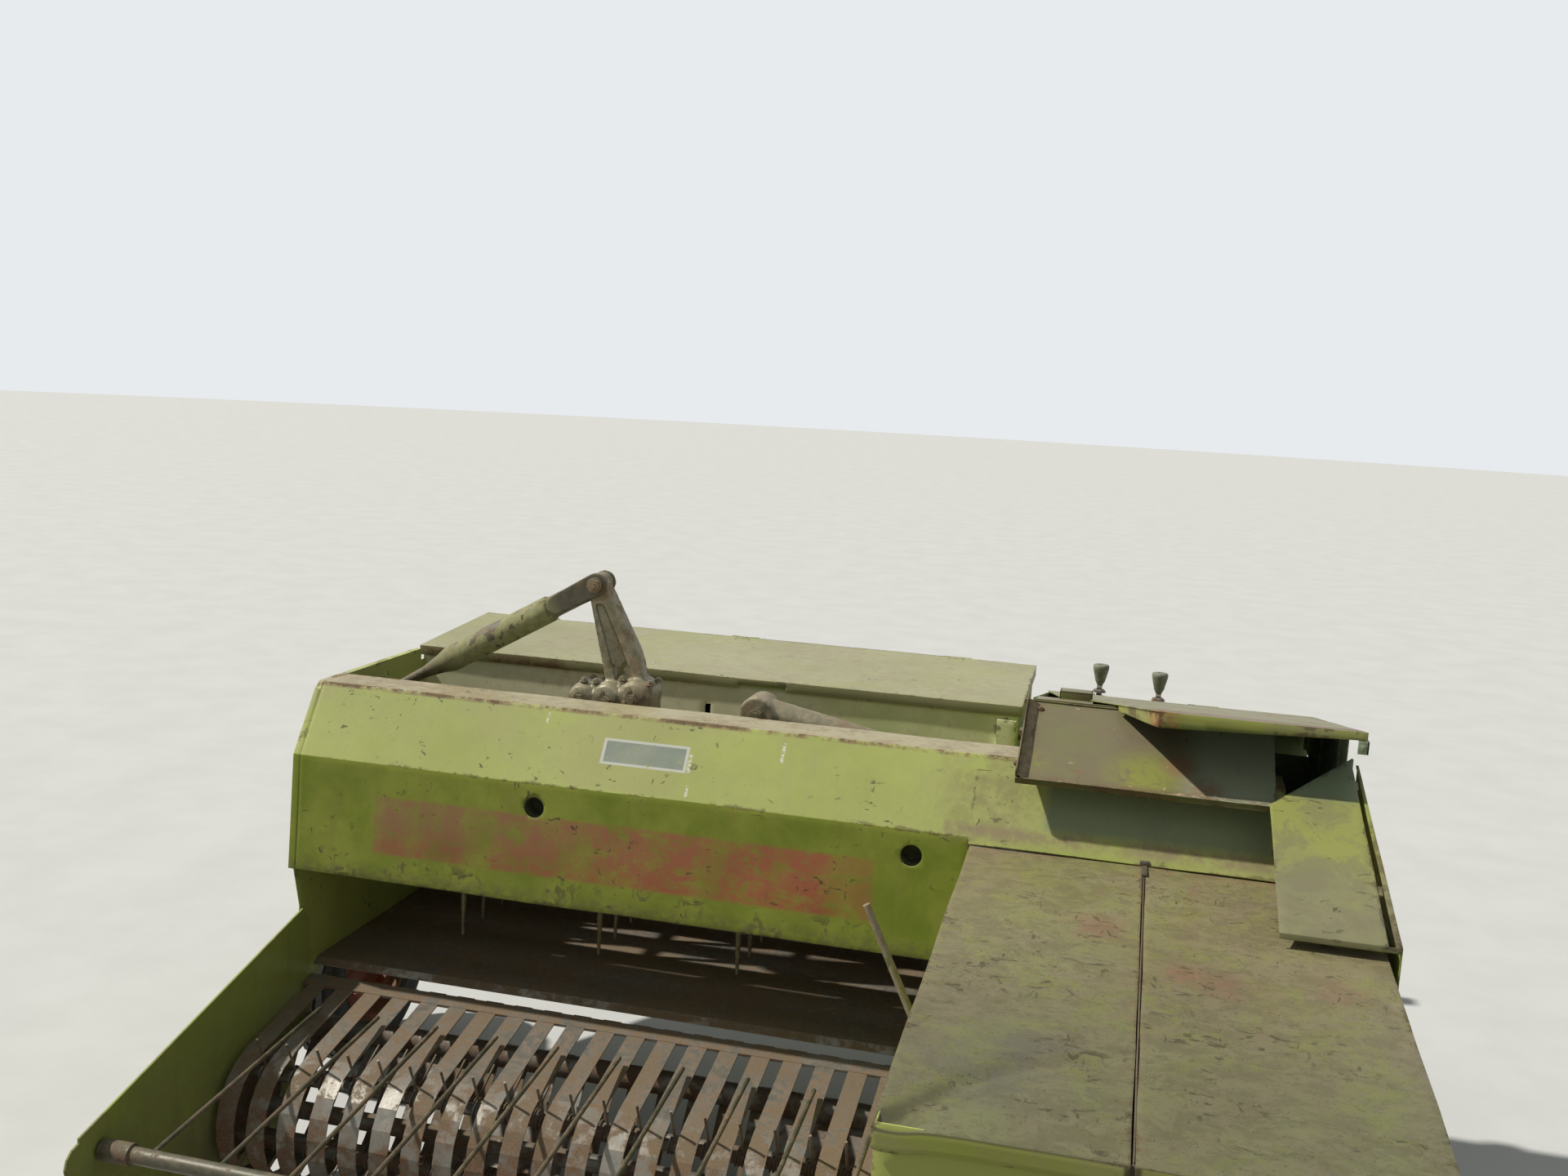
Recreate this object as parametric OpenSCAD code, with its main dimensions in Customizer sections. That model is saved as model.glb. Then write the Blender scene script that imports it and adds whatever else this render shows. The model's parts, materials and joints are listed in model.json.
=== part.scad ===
// Square baler, small bale size. Millimetres. Stations are measured from the outer end of the feeder
// hood (x), from the crease of the hood's front (y, to the rear) and from the ground (z).

/* [Feeder hood] */
// Length of the hood from its outer end to the plunger housing
hood_len = 1620; // [1560:10:1700]
// Height of the hood's front crease above the ground
crease_h = 1020; // [1000:5:1060]
// Height of the lower front face
face_h = 280; // [240:5:300]
// How far the lower face leans forward at its foot
face_lean = 19; // [10:1:30]
// Rise of the upper sloped face
slope_h = 160; // [140:5:180]
// Run of the upper sloped face
slope_run = 104; // [90:2:140]
// Width of the flat rim on top of the front
rim_w = 110; // [60:2:130]
// Distance from the crease to the twine box
trough_run = 635; // [610:5:660]
// Sheet metal thickness
sheet = 3; // [2:0.5:4]
// Height of the slotted deck over the feed floor
deck_h = 770; // [750:5:800]

/* [Twine box] */
// Depth of the twine box, front to rear
twine_depth = 443; // [400:5:480]
// Length of the twine box beyond the hood's inner end
twine_over = 37; // [20:1:50]
// Rise of the lid from front to rear
twine_rise = 30; // [10:2:40]
// Height of the twine box floor
twine_floor_h = 830; // [800:5:900]
// Depth of the lid's front flange
lid_flange = 27; // [20:1:40]

/* [Bale chamber] */
// Width of a bale
bale_w = 460; // [440:5:480]
// Height of a bale
bale_h = 360; // [340:5:370]
// Middle of the chamber from the hood's inner end
chamber_off = 303; // [300:1:310]
// Height of the chamber floor
floor_h = 480; // [470:2:490]
// Thickness of the chamber walls
wall = 6; // [4:0.5:8]
// Rear end of the chamber
chamber_rear = 2100; // [2000:10:2200]
// Front end of the chamber walls
chamber_front = -560; // [-600:10:-540]
// Start of the feed opening in the side wall
feed_y0 = 30; // [20:5:60]
// Length of the feed opening
feed_len = 560; // [500:10:580]
// Distance of each needle and knotter from the middle
knot_offset = 115; // [105:1:125]

/* [Plunger housing] */
// Width of the housing and its covers
cover_w = 810; // [790:5:815]
// Length of the covers
cover_len = 1160; // [1140:5:1200]
// Height of the covers at the rear
cover_rear_h = 1006; // [1000:1:1010]
// Fall of the covers from rear to front
cover_fall = 78; // [50:2:100]
// Width of the outer cover, up to the seam
seam_at = 368; // [340:2:400]
// Depth of the covers' folded skirt
cover_skirt = 34; // [24:1:50]

/* [Knotter hood] */
// Run of the front tray
tray_run = 250; // [220:5:280]
// Rise of the front tray
tray_rise = 127; // [110:1:140]
// Height of the tray's lower edge
tray_h = 1155; // [1150:1:1165]
// Depth of the knotter hood, front to rear
knotter_depth = 950; // [900:10:1000]
// Height of the knotter lid's front edge above the tray's upper edge
lid_step = 55; // [44:1:66]
// Fall of the knotter lid from front to rear
lid_fall = 165; // [140:1:176]

/* [Drive shield] */
// Outer face of the drive shield from the chamber's middle
shield_reach = 527; // [522:1:537]
// Front end of the drive shield
shield_y0 = -330; // [-360:5:-300]
// Rear end of the drive shield
shield_y1 = 830; // [800:5:860]

/* [Pickup] */
// Distance of the reel's axis ahead of the crease
reel_y = -230; // [-240:2:-220]
// Height of the reel's axis
reel_h = 250; // [246:1:260]
// Radius of the stripper bands
band_r = 150; // [145:1:155]
// Radius to the tine tips
tine_r = 215; // [205:1:220]
// Diameter of a tine
tine_d = 6; // [5:0.5:7]
// Pitch of the tines and bands
tine_pitch = 75; // [73:0.5:76]
// Width of a stripper band
band_w = 44; // [36:1:48]
// Reach of the pickup's side plates
plate_reach = 830; // [800:5:850]
// Thickness of the pickup's side plates
plate_t = 6; // [4:0.5:8]
// Position of the crop guard tube ahead of the crease
guard_y = -730; // [-740:2:-715]
// Height of the crop guard tube
guard_h = 385; // [375:1:395]
// Diameter of the crop guard tube
guard_d = 34; // [28:1:40]
// Length of the crop guard's rods
rod_len = 620; // [560:5:640]
// Diameter of the crop guard's rods
rod_d = 10; // [8:1:12]
// Pitch of the crop guard's rods, in tine pitches
rod_step = 2; // [2:1:3]

/* [Running gear] */
// Distance of the wheels' axis behind the crease
axle_y = 560; // [550:5:570]
// Diameter of the inner tyre, beside the chamber
tyre_in_d = 690; // [660:5:700]
// Width of the inner tyre
tyre_in_w = 190; // [180:2:200]
// Diameter of the outer tyre
tyre_out_d = 600; // [580:5:620]
// Width of the outer tyre
tyre_out_w = 150; // [130:2:160]
// Diameter of the pickup's gauge wheel
gauge_d = 290; // [270:5:300]
// Width of the gauge wheel
gauge_w = 90; // [80:2:94]

/* [Drawbar] */
// Distance of the hitch ahead of the crease
hitch_y = 2400; // [2350:10:2450]
// Height of the drawbar's middle
drawbar_h = 420; // [410:2:425]
// Radius of the hitch pin hole
hitch_r = 16.5; // [14:0.5:18]
// Height of the hitch plate's faces apart
hitch_t = 30; // [25:1:36]
// Jack's place along the drawbar
jack_at = 1000; // [950:10:1040]

/* [Flywheel] */
// Diameter of the flywheel
flywheel_d = 520; // [480:5:530]
// Height of the flywheel's axis
flywheel_h = 540; // [535:1:550]
// Radius of the splined stub
stub_r = 17.4; // [15:0.1:19]
// Length of the splined stub
stub_len = 75; // [60:1:90]

/* [Chute] */
// Length of the bale chute
chute_len = 620; // [560:10:700]
// Fall of the chute to the rear, in degrees
chute_fall = 6; // [3:1:9]

/* [Hidden] */
$fn = 48;

green = [0.58, 0.66, 0.25];
faded = [0.60, 0.62, 0.40];
cast = [0.38, 0.32, 0.25];
steel = [0.45, 0.43, 0.40];
black = [0.08, 0.08, 0.08];

gap = 0.3;      // running and seating gap between pieces that don't move on each other
clear = 5.5;    // gap beside pieces that move
eps = 0.01;

// Stations that follow from the sizes above
chamber_x = hood_len + chamber_off;
shield_x1 = chamber_x + shield_reach;
twine_len = hood_len + twine_over;
lid_front_h = tray_h + tray_rise + lid_step;
chamber_in_x0 = chamber_x - bale_w/2;
chamber_in_x1 = chamber_x + bale_w/2;
wall_x0 = chamber_in_x0 - wall;
wall_x1 = chamber_in_x1 + wall;
roof_h = floor_h + bale_h;
wall_low = floor_h - 20;
wall_high = roof_h + 50;
beam_w = 70;
beam_hh = 80;
beam_low = wall_low - beam_hh;
housing_x0 = hood_len;
housing_x1 = housing_x0 + cover_w;
housing_front = -cover_len + 20;
shield_x0 = shield_x1 - 210;
end_t = 4;
trough_top = crease_h + slope_h;
twine_y1 = trough_run + twine_depth;
twine_top = trough_top + 7;
box_top = twine_top - sheet - gap;
pivot_y = 30;
pivot_h = floor_h - 50;
plate_x0 = end_t + clear;
plate_x1 = hood_len - 20;
wheel_in_x = shield_x1 - 10 - tyre_in_w/2;
wheel_out_x = -60 - tyre_out_w/2;
drawbar_pivot = [housing_x0 - 60, housing_front - 70];
drawbar_run = hitch_y + drawbar_pivot[1];
drawbar_side = chamber_x - drawbar_pivot[0];
drawbar_len = norm([drawbar_run, drawbar_side]);
drawbar_turn = atan2(drawbar_side, drawbar_run);
drawbar_pin_r = 15;
ear_t = 14;
hitch_lug = 42;
chute_y = chamber_rear + 18;
chute_h = floor_h - 24;
chute_side = 46;
cover_slope = atan(cover_fall / cover_len);
cover_y1 = 20;
function cover_under(y) = cover_rear_h + (y - cover_y1) * tan(cover_slope) - sheet / cos(cover_slope) - gap;

// The frame's origin is under the middle of the whole machine
x_low = wheel_out_x - tyre_out_w/2;
x_high = shield_x1;
y_low = -hitch_y - hitch_lug;
y_high = chute_y + chute_len * cos(chute_fall) + chute_side * sin(chute_fall);
mid_x = (x_low + x_high) / 2;
mid_y = (y_low + y_high) / 2;

// A folded sheet of even thickness from the points of one of its faces
function unit(v) = v / norm(v);
function side_of(v) = [-v[1], v[0]];
function mitre(p, i, t) =
    let (n = len(p),
        a = i > 0 ? unit(p[i] - p[i-1]) : unit(p[1] - p[0]),
        b = i < n-1 ? unit(p[i+1] - p[i]) : a,
        m = unit(side_of(a) + side_of(b)))
    p[i] + m * t / (m * side_of(a));
function folded(p, t) = concat(p, [for (i = [len(p)-1:-1:0]) mitre(p, i, t)]);
function arc(c, r, a0, a1, n) = [for (i = [0:n]) c + r * [cos(a0 + (a1-a0)*i/n), sin(a0 + (a1-a0)*i/n)]];
// Outline of a link with a round end of radius r at p and one of radius s at q
function link(p, r, q, s) =
    let (a = atan2(q[1] - p[1], q[0] - p[0]), b = acos((r - s) / norm(q - p)))
    concat(arc(p, r, a + b, a + 360 - b, 14), arc(q, s, a - b, a + b, 10));

// Puts stations into the machine's frame
module placed() { translate([-mid_x, -mid_y, 0]) children(); }
// Extrudes an outline of (y, z) points along x
module along_x(x0, x1) { translate([x0, 0, 0]) rotate([90, 0, 90]) linear_extrude(x1 - x0) children(); }
// Extrudes an outline of (x, z) points along y
module along_y(y0, y1) { translate([0, y1, 0]) rotate([90, 0, 0]) linear_extrude(y1 - y0) children(); }
module block(x0, x1, y0, y1, z0, z1) { translate([x0, y0, z0]) cube([x1-x0, y1-y0, z1-z0]); }
module rod_x(x0, x1, y, z, r) { translate([x0, y, z]) rotate([0, 90, 0]) cylinder(h = x1-x0, r = r); }
module rod_y(x, y0, y1, z, r) { translate([x, y0, z]) rotate([-90, 0, 0]) cylinder(h = y1-y0, r = r); }
module rod_z(x, y, z0, z1, r) { translate([x, y, z0]) cylinder(h = z1-z0, r = r); }
// A straight round bar between two points
module bar(a, b, r0, r1) {
    d = b - a;
    translate(a) rotate([0, acos(d[2]/norm(d)), atan2(d[1], d[0])]) cylinder(h = norm(d), r1 = r0, r2 = r1);
}

// A turned piece that starts at a and runs along d, from its (radius, length) profile
module turned(a, d, profile) {
    translate(a) rotate([0, acos(d[2]/norm(d)), atan2(d[1], d[0])]) rotate_extrude() polygon(profile);
}

// Bale chamber

// Side wall with long pressed ribs; the inner one has the feed opening
module chamber_side(x0, out, opening) {
    rib_y0 = roof_rear + 80;
    rib_d = 24;
    difference() {
        union() {
            block(x0, x0 + wall, chamber_front, chamber_rear, wall_low, wall_high);
            for (z = [floor_h + 60, floor_h + bale_h/2 - 15, roof_h - 90])
                block(out > 0 ? x0 + wall - eps : x0 - rib_d, out > 0 ? x0 + wall + rib_d : x0 + eps,
                    rib_y0, chamber_rear, z, z + 30);
            for (y = [rib_y0, chamber_rear - 40])
                block(out > 0 ? x0 + wall - eps : x0 - rib_d, out > 0 ? x0 + wall + rib_d : x0 + eps,
                    y, y + 40, wall_low, wall_high);
        }
        if (opening)
            block(x0 - 1, x0 + wall + 1, feed_y0, feed_y0 + feed_len, floor_h, roof_h);
        for (z = [floor_h + 115, roof_h - 145])
            block(x0 - 40, x0 + wall + 40, rib_y0 + 80, chamber_rear - 80, z, z + 22);
    }
}
module chamber_side_outer() { color(green) chamber_side(wall_x1 - wall, 1, false); }
module chamber_side_inner() { color(green) chamber_side(wall_x0, -1, true); }

needle_y0 = feed_y0 + feed_len + 20;
roof_rear = knotter_depth + 90;
module chamber_floor() {
    color(steel) {
        difference() {
            block(chamber_in_x0, chamber_in_x1, chamber_front, chamber_rear, floor_h - wall, floor_h);
            for (s = [-1, 1])
                block(chamber_x + s*knot_offset - 14, chamber_x + s*knot_offset + 14, needle_y0, needle_y0 + 150,
                    floor_h - wall - 1, floor_h + 1);
        }
        // ears and pin of the chute
        for (x = [chamber_in_x0, chamber_in_x1 - 12])
            block(x, x + 12, chamber_rear - 40, chute_y + 14, chute_h - 14, floor_h - wall + eps);
        rod_x(chamber_in_x0, chamber_in_x1, chute_y, chute_h, 8);
    }
}
star_y = roof_rear + 136;
star_h = roof_h + 108;
module chamber_roof() {
    color(green) {
        difference() {
            block(chamber_in_x0, chamber_in_x1, chamber_front, roof_rear, roof_h, roof_h + wall);
            for (s = [-1, 1])
                block(chamber_x + s*knot_offset - 22, chamber_x + s*knot_offset + 22, needle_y0, needle_y0 + 230,
                    roof_h - 1, roof_h + wall + 1);
        }
        // lugs that the tension rails hang on
        for (s = [-1, 1])
            block(chamber_x + s*rail_x - 22, chamber_x + s*rail_x + 22, roof_rear - 40, rail_y0, roof_h + wall - eps,
                roof_h + wall + 30);
        // arms and pin of the star wheel
        for (x = [chamber_x - 30, chamber_x + 24])
            along_x(x, x + 6) polygon([[roof_rear - 90, roof_h + wall - eps], [roof_rear - 4, roof_h + wall - eps],
                [star_y + 16, star_h - 20], [star_y + 20, star_h + 16], [star_y - 16, star_h + 22],
                [roof_rear - 90, roof_h + wall + 40]]);
        rod_x(chamber_x - 34, chamber_x + 34, star_y, star_h, 10);
    }
}

// Frame

module main_frame() {
    color(green) {
        for (x = [chamber_in_x0 - beam_w, chamber_in_x1])
            block(x, x + beam_w, housing_front + 60, axle_y + 340, beam_low, wall_low);
        // front member, with the drawbar's ears on its outer end
        block(drawbar_pivot[0] - 60, chamber_in_x1 + beam_w, housing_front, housing_front + 60 + eps,
            beam_low, wall_low);
        for (z = [beam_low, wall_low - ear_t]) {
            block(drawbar_pivot[0] - 55, drawbar_pivot[0] + 55, drawbar_pivot[1], housing_front + eps, z, z + ear_t);
            rod_z(drawbar_pivot[0], drawbar_pivot[1], z, z + ear_t, 55);
        }
        rod_z(drawbar_pivot[0], drawbar_pivot[1], beam_low - 12, wall_low + 12, drawbar_pin_r);
        for (z = [beam_low - 12, wall_low])
            rod_z(drawbar_pivot[0], drawbar_pivot[1], z, z + 12, 26);
        // bed under the gearbox
        block(chamber_in_x0 - eps, chamber_in_x1 + eps, -960, chamber_front - 20, beam_low, beam_low + 12);
        // pin that the pickup swings on
        rod_x(plate_x1 - 12, chamber_in_x0 - beam_w + eps, pivot_y, pivot_h, 12);
    }
}

stub_axle_r = 25;
module axle() {
    low = beam_low - 80;
    color(green) {
        block(end_t + 20, wheel_in_x - tyre_in_w/2 - 20, axle_y - 40, axle_y + 40, low, beam_low);
        // drop plates and stub axles
        block(end_t, end_t + 20 + eps, axle_y - 45, axle_y + 45, tyre_out_d/2 - 45, beam_low);
        rod_x(wheel_out_x - tyre_out_w/2 + 20, end_t + eps, axle_y, tyre_out_d/2, stub_axle_r);
        rod_x(wheel_in_x - tyre_in_w/2 - 20 - eps, wheel_in_x + tyre_in_w/2 - 30, axle_y, tyre_in_d/2, stub_axle_r);
        // posts up to the outer end of the hood
        block(end_t, end_t + 20, axle_y - 30, axle_y + 30, beam_low - eps, floor_h - sheet);
    }
}

// Drive and plunger

gear_y0 = -940;
gear_y1 = -600;
crank_y = -780;
crank_r = 290;
crank_h = floor_h + 180;
module gearbox() {
    color(green) {
        difference() {
            block(chamber_x - 140, chamber_x + 140, gear_y0, gear_y1, beam_low + 12, crank_h - 50);
            for (s = [-1, 1])
                translate([chamber_x + s*140, gear_y0, 0]) rotate([0, 0, 45])
                    block(-30, 30, -30, 30, beam_low, crank_h);
        }
        rod_y(chamber_x, housing_front - 4, gear_y0 + eps, flywheel_h, 62);
        rod_y(chamber_x, flywheel_y - 28, housing_front, flywheel_h, shaft_r);
        for (a = [0:60:300])
            translate([chamber_x, 0, flywheel_h]) rotate([0, a, 0])
                block(-6, 6, gear_y0 - 70, gear_y0 + eps, 55, 84);
        rod_z(chamber_x, crank_y, crank_h - 50 - eps, crank_h - 26, 80);
    }
}
rod_h0 = crank_h + 26;
plunger_pin_y = -430;
plunger_face = -12;
module crank_and_rod() {
    pin_y = crank_y - crank_r;
    color(cast) {
        rod_z(chamber_x, crank_y, crank_h - 26, crank_h + 24, 62);
        rod_z(chamber_x, pin_y, crank_h - 26, rod_h0 + 48, 44);
        block(chamber_x - 40, chamber_x + 40, pin_y, crank_y, crank_h - 24, crank_h + 22);
        // counterweight
        intersection() {
            rod_z(chamber_x, crank_y, crank_h - 24, crank_h + 22, 190);
            block(chamber_x - 150, chamber_x + 150, crank_y + 40, crank_y + 200, crank_h - 24, crank_h + 22);
        }
        block(chamber_x - 30, chamber_x + 30, pin_y, plunger_pin_y - 32, rod_h0, rod_h0 + 44);
        difference() {
            rod_z(chamber_x, plunger_pin_y, rod_h0 - 4, rod_h0 + 48, 46);
            rod_z(chamber_x, plunger_pin_y, rod_h0 - 20, rod_h0 + 60, 20 + gap);
        }
    }
}
module plunger() {
    x0 = chamber_in_x0 + 3;
    x1 = chamber_in_x1 - 3;
    y0 = -500;
    z0 = floor_h + 3;
    z1 = roof_h - 3;
    color(steel) {
        difference() {
            block(x0, x1, y0, plunger_face, z0, z1);
            block(x0 + 10, x1 - 10, y0 - 1, plunger_face - 22, z0 + 10, z1 - 10);
            for (s = [-1, 1])
                block(chamber_x + s*knot_offset - 16, chamber_x + s*knot_offset + 16, plunger_face - 23, plunger_face + 1,
                    z0 - 1, z1 + 1);
        }
        for (z = [[z0 + 10 - eps, rod_h0 - 10], [rod_h0 + 54, z1 - 10 + eps]])
            block(chamber_x - 60, chamber_x + 60, plunger_pin_y - 50, plunger_pin_y + 50, z[0], z[1]);
        rod_z(chamber_x, plunger_pin_y, rod_h0 - 10 - eps, rod_h0 + 54 + eps, 20);
    }
}

flywheel_y = housing_front - 60;
shaft_r = 20;
module flywheel() {
    color(cast) translate([chamber_x, flywheel_y, flywheel_h]) rotate([90, 0, 0]) {
        difference() {
            rotate_extrude() polygon([[shaft_r + gap, -50], [66, -50], [66, -22], [flywheel_d/2 - 50, -22],
                [flywheel_d/2 - 44, -52], [flywheel_d/2 - 6, -52], [flywheel_d/2, -46], [flywheel_d/2, 30],
                [flywheel_d/2 - 6, 36], [flywheel_d/2 - 44, 36], [flywheel_d/2 - 50, 0], [84, 0], [84, 34],
                [shaft_r + gap, 34]]);
            for (a = [30:60:330])
                rotate([0, 0, a]) translate([(flywheel_d/2 + 34)/2, 0, -60]) cylinder(h = 100, r = 32);
        }
        // shear bolt hub and guard bell's inner flange
        translate([0, 0, 34 - eps]) cylinder(h = 34, r1 = 78, r2 = 60);
        for (a = [0:90:270])
            rotate([0, 0, a]) translate([62, 0, 0]) cylinder(h = 62, r = 9);
        translate([0, 0, 60]) cylinder(h = 22, r = 32);
        translate([0, 0, 80]) cylinder(h = stub_len, r = stub_r);
    }
}

// Covers of the plunger housing

module cover_sheet(x0, x1) {
    // top sheet and front skirt, folded in one piece, with a short return at each side
    translate([0, cover_y1, cover_rear_h]) rotate([cover_slope, 0, 0]) {
        along_x(x0, x1) polygon(folded([[0, 0], [-cover_len / cos(cover_slope), 0],
            [-cover_len / cos(cover_slope), -cover_skirt]], sheet));
        for (x = [x0, x1 - sheet])
            block(x, x + sheet, -cover_len + 22, 0, -sheet - 16, -sheet + eps);
    }
}
seam_x = housing_x0 + seam_at;
module cover_outer() { color(faded) cover_sheet(housing_x0, seam_x - 3); }
module cover_inner() { color(faded) cover_sheet(seam_x + 3, housing_x1); }

module housing_walls() {
    y0 = housing_front + 12;
    y1 = feed_y0 - 20;
    color(green) {
        for (x = [housing_x0 + 4, housing_x1 - 7]) {
            low = x < chamber_x ? wall_low : floor_h + 60;
            along_x(x, x + sheet) polygon([[y0, low], [y1, low], [y1, cover_under(y1)], [y0, cover_under(y0)]]);
        }
        difference() {
            block(housing_x0 + 4, housing_x1 - 4, y0 - sheet, y0 + eps, wall_low, cover_under(y0 - sheet));
            rod_y(chamber_x, y0 - 20, y0 + 20, flywheel_h, 75);
        }
        // strip between the two covers
        along_x(seam_x - 1.5, seam_x + 1.5) polygon([[y0 - eps, cover_under(y0) - 36], [y1, cover_under(y1) - 36],
            [y1, cover_under(y1) + 4], [y0 - eps, cover_under(y0) + 4]]);
        // stay that carries the outer wall
        block(chamber_in_x1 + beam_w - 30, housing_x1 - 7 + eps, y0 - eps, y0 + 30, wall_low, wall_low + 30);
    }
}

// Feeder hood

hood_holes = [612, 125];
foot_drop = 15;
hood_profile = [[26, crease_h - face_h - 16], [-face_lean, crease_h - face_h], [0, crease_h],
    [slope_run, trough_top], [slope_run + rim_w, trough_top], [slope_run + rim_w, trough_top - 26]];
module hood_front() {
    hole_h = crease_h - 56;
    color(green) difference() {
        union() {
            along_x(end_t, hood_len - 3) polygon(folded(hood_profile, -sheet));
            along_x(hood_len - 3 - eps, shield_x0 + 24)
                polygon(folded(concat([hood_profile[2] - unit(hood_profile[3] - hood_profile[2])*foot_drop],
                    [for (i = [3:5]) hood_profile[i]]), -sheet));
        }
        for (x = [hood_holes[0], hood_len - hood_holes[1]])
            rod_y(x, -60, 60, hole_h, 24);
    }
}
module hood_end() {
    color(green) {
        along_x(0, end_t) polygon([[-face_lean, crease_h - face_h], [0, crease_h], [slope_run, trough_top],
            [trough_run - 22, trough_top], [trough_run - 22, box_top - lid_flange - 8],
            [trough_run, box_top - lid_flange - 8], [trough_run, box_top], [twine_y1, box_top + twine_rise],
            [twine_y1, twine_floor_h - sheet], [trough_run + 30, floor_h - sheet - 20], [110, floor_h - sheet - 20],
            [pivot_y + 40, pivot_h - 36], [pivot_y - 40, pivot_h - 36], [-22, pivot_h + 20], [10, 635]]);
        rod_x(end_t - eps, plate_x0 + plate_t + 12, pivot_y, pivot_h, 12);
        // lip along the front and the top edge
        along_x(-14, eps) polygon(folded([[-face_lean, crease_h - face_h], [0, crease_h], [slope_run - 10, trough_top - 15],
            [slope_run + 12, trough_top], [trough_run - 22, trough_top]], -sheet));
        // ears and pin of the guide link
        for (s = [-1, 1])
            along_y(feeder_y + s*21 - 4, feeder_y + s*21 + 4) polygon([[end_t - eps, link_low[2] - 60],
                [link_low[0] + 14, link_low[2] - 18], [link_low[0] + 14, link_low[2] + 16],
                [end_t - eps, link_low[2] + 20]]);
        rod_y(link_low[0], feeder_y - 30, feeder_y + 30, link_low[2], 10);
    }
}
module feed_floor() {
    color(steel)
        along_x(end_t, wall_x0) polygon(folded([[72, floor_h - 14], [86, floor_h], [trough_run, floor_h],
            [trough_run, twine_floor_h]], -sheet));
}
slot_rows = [-120, 0, 120];
feeder_y = 375;
module feed_deck() {
    color(green) difference() {
        along_x(end_t, wall_x0) polygon(folded([[40, deck_h + 22], [40, deck_h], [trough_run, deck_h]], -sheet));
        for (r = slot_rows)
            block(130, hood_len - 20, feeder_y + r - 19, feeder_y + r + 19, deck_h - 10, deck_h + 10);
    }
}

// Hinge with a pin along x: the fixed half is leaf and pin, the moving half is the barrels
hinge_r = 8;
pin_r = 4;
module hinge_pin(xs, y, z, back) {
    for (x = xs) {
        rod_x(x - 40, x + 40, y, z, pin_r);
        for (s = [-1, 1]) {
            rod_x(s < 0 ? x - 40 : x + 21, s < 0 ? x - 21 : x + 40, y, z, hinge_r);
            block(s < 0 ? x - 40 : x + 21, s < 0 ? x - 21 : x + 40, y - back, y, z - 28, z - 2);
        }
    }
}
module hinge_barrel(xs, y, z) {
    for (x = xs)
        rod_x(x - 20, x + 20, y, z, hinge_r);
}
module hinge_bore(xs, y, z) {
    for (x = xs)
        rod_x(x - 21, x + 21, y, z, pin_r + 0.3);
}

twine_slot = 826;
lid_notch = [918, 1046];
twine_hinges = [180, hood_len/2, hood_len - 180];
twine_hinge = [twine_y1 + hinge_r + 1, twine_top + twine_rise - hinge_r - 1];
module twine_box() {
    y0 = trough_run;
    color(green) {
        difference() {
            along_x(end_t, twine_len) polygon([[y0, twine_floor_h], [twine_y1, twine_floor_h],
                [twine_y1, box_top + twine_rise], [y0, box_top]]);
            along_x(end_t + sheet, twine_len - sheet) polygon([[y0 + sheet, twine_floor_h + sheet],
                [twine_y1 - sheet, twine_floor_h + sheet], [twine_y1 - sheet, trough_top + twine_rise + 60],
                [y0 + sheet, trough_top + 60]]);
            // slot that the twine is fed through
            block(twine_slot, twine_slot + 15, y0 - 10, y0 + 10, box_top - 112, box_top - 78);
        }
        hinge_pin(twine_hinges, twine_hinge[0], twine_hinge[1], hinge_r + 1 + eps);
        // angle at the front corner beside the housing
        along_y(y0 - 11, y0 + eps) polygon([[twine_len - 52, twine_floor_h], [twine_len - sheet, twine_floor_h],
            [twine_len - sheet, box_top - lid_flange - 9], [twine_len - 52, box_top - lid_flange - 9]]);
    }
}
module twine_lid() {
    tilt = atan(twine_rise / twine_depth);
    side = clear + sheet;
    run = (twine_hinge[0] - hinge_r - clear - trough_run + side) / cos(tilt);
    color(faded) difference() {
        union() {
            translate([0, trough_run - side, box_top + gap - side * tan(tilt)]) rotate([tilt, 0, 0]) {
                block(-side, twine_len + side, 0, run, 0, sheet);
                difference() {
                    block(-side, twine_len + side, 0, sheet, sheet - lid_flange, sheet);
                    block(lid_notch[0], lid_notch[1], -1, sheet + 1, sheet - lid_flange - 1, -lid_flange*0.36);
                }
                for (x = [-side, twine_len + clear])
                    block(x, x + sheet, 0, run - 10, sheet - lid_flange, sheet);
            }
            hinge_barrel(twine_hinges, twine_hinge[0], twine_hinge[1]);
            for (x = twine_hinges)
                block(x - 20, x + 20, twine_hinge[0] - 30, twine_hinge[0], twine_hinge[1] + 6, twine_hinge[1] + hinge_r);
        }
        hinge_bore(twine_hinges, twine_hinge[0], twine_hinge[1]);
    }
}

// Feeder mechanism in the trough

link_low = [40, feeder_y, crease_h + 92];
link_top = [613, feeder_y, crease_h + 424];
hub = [668, feeder_y, crease_h + 150];
beam_x0 = 260;
beam_x1 = hood_len - 500;
knuckle = [beam_x1 - 75, feeder_y, crease_h + 140];
crank_pin = [chamber_x - 133, feeder_y, crease_h + 18];
feeder_centre = [chamber_x, feeder_y, crease_h + 20];
beam_z = crease_h + 62;

module feeder_beam() {
    color(cast) {
        rod_x(beam_x0, beam_x1, feeder_y, beam_z, 26);
        for (x = [beam_x0 + 60, hub[0] + 22, beam_x1 - 70]) {
            rod_y(x, feeder_y - 140, feeder_y + 140, beam_z - 18, 20);
            reach = beam_z - 18 - floor_h - 40;
            for (r = slot_rows)
                turned([x, feeder_y + r, beam_z - 18], [0, 0, -1], [[0, 0], [12, 0], [12, reach*0.45], [5, reach],
                    [0, reach]]);
        }
    }
}
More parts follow.
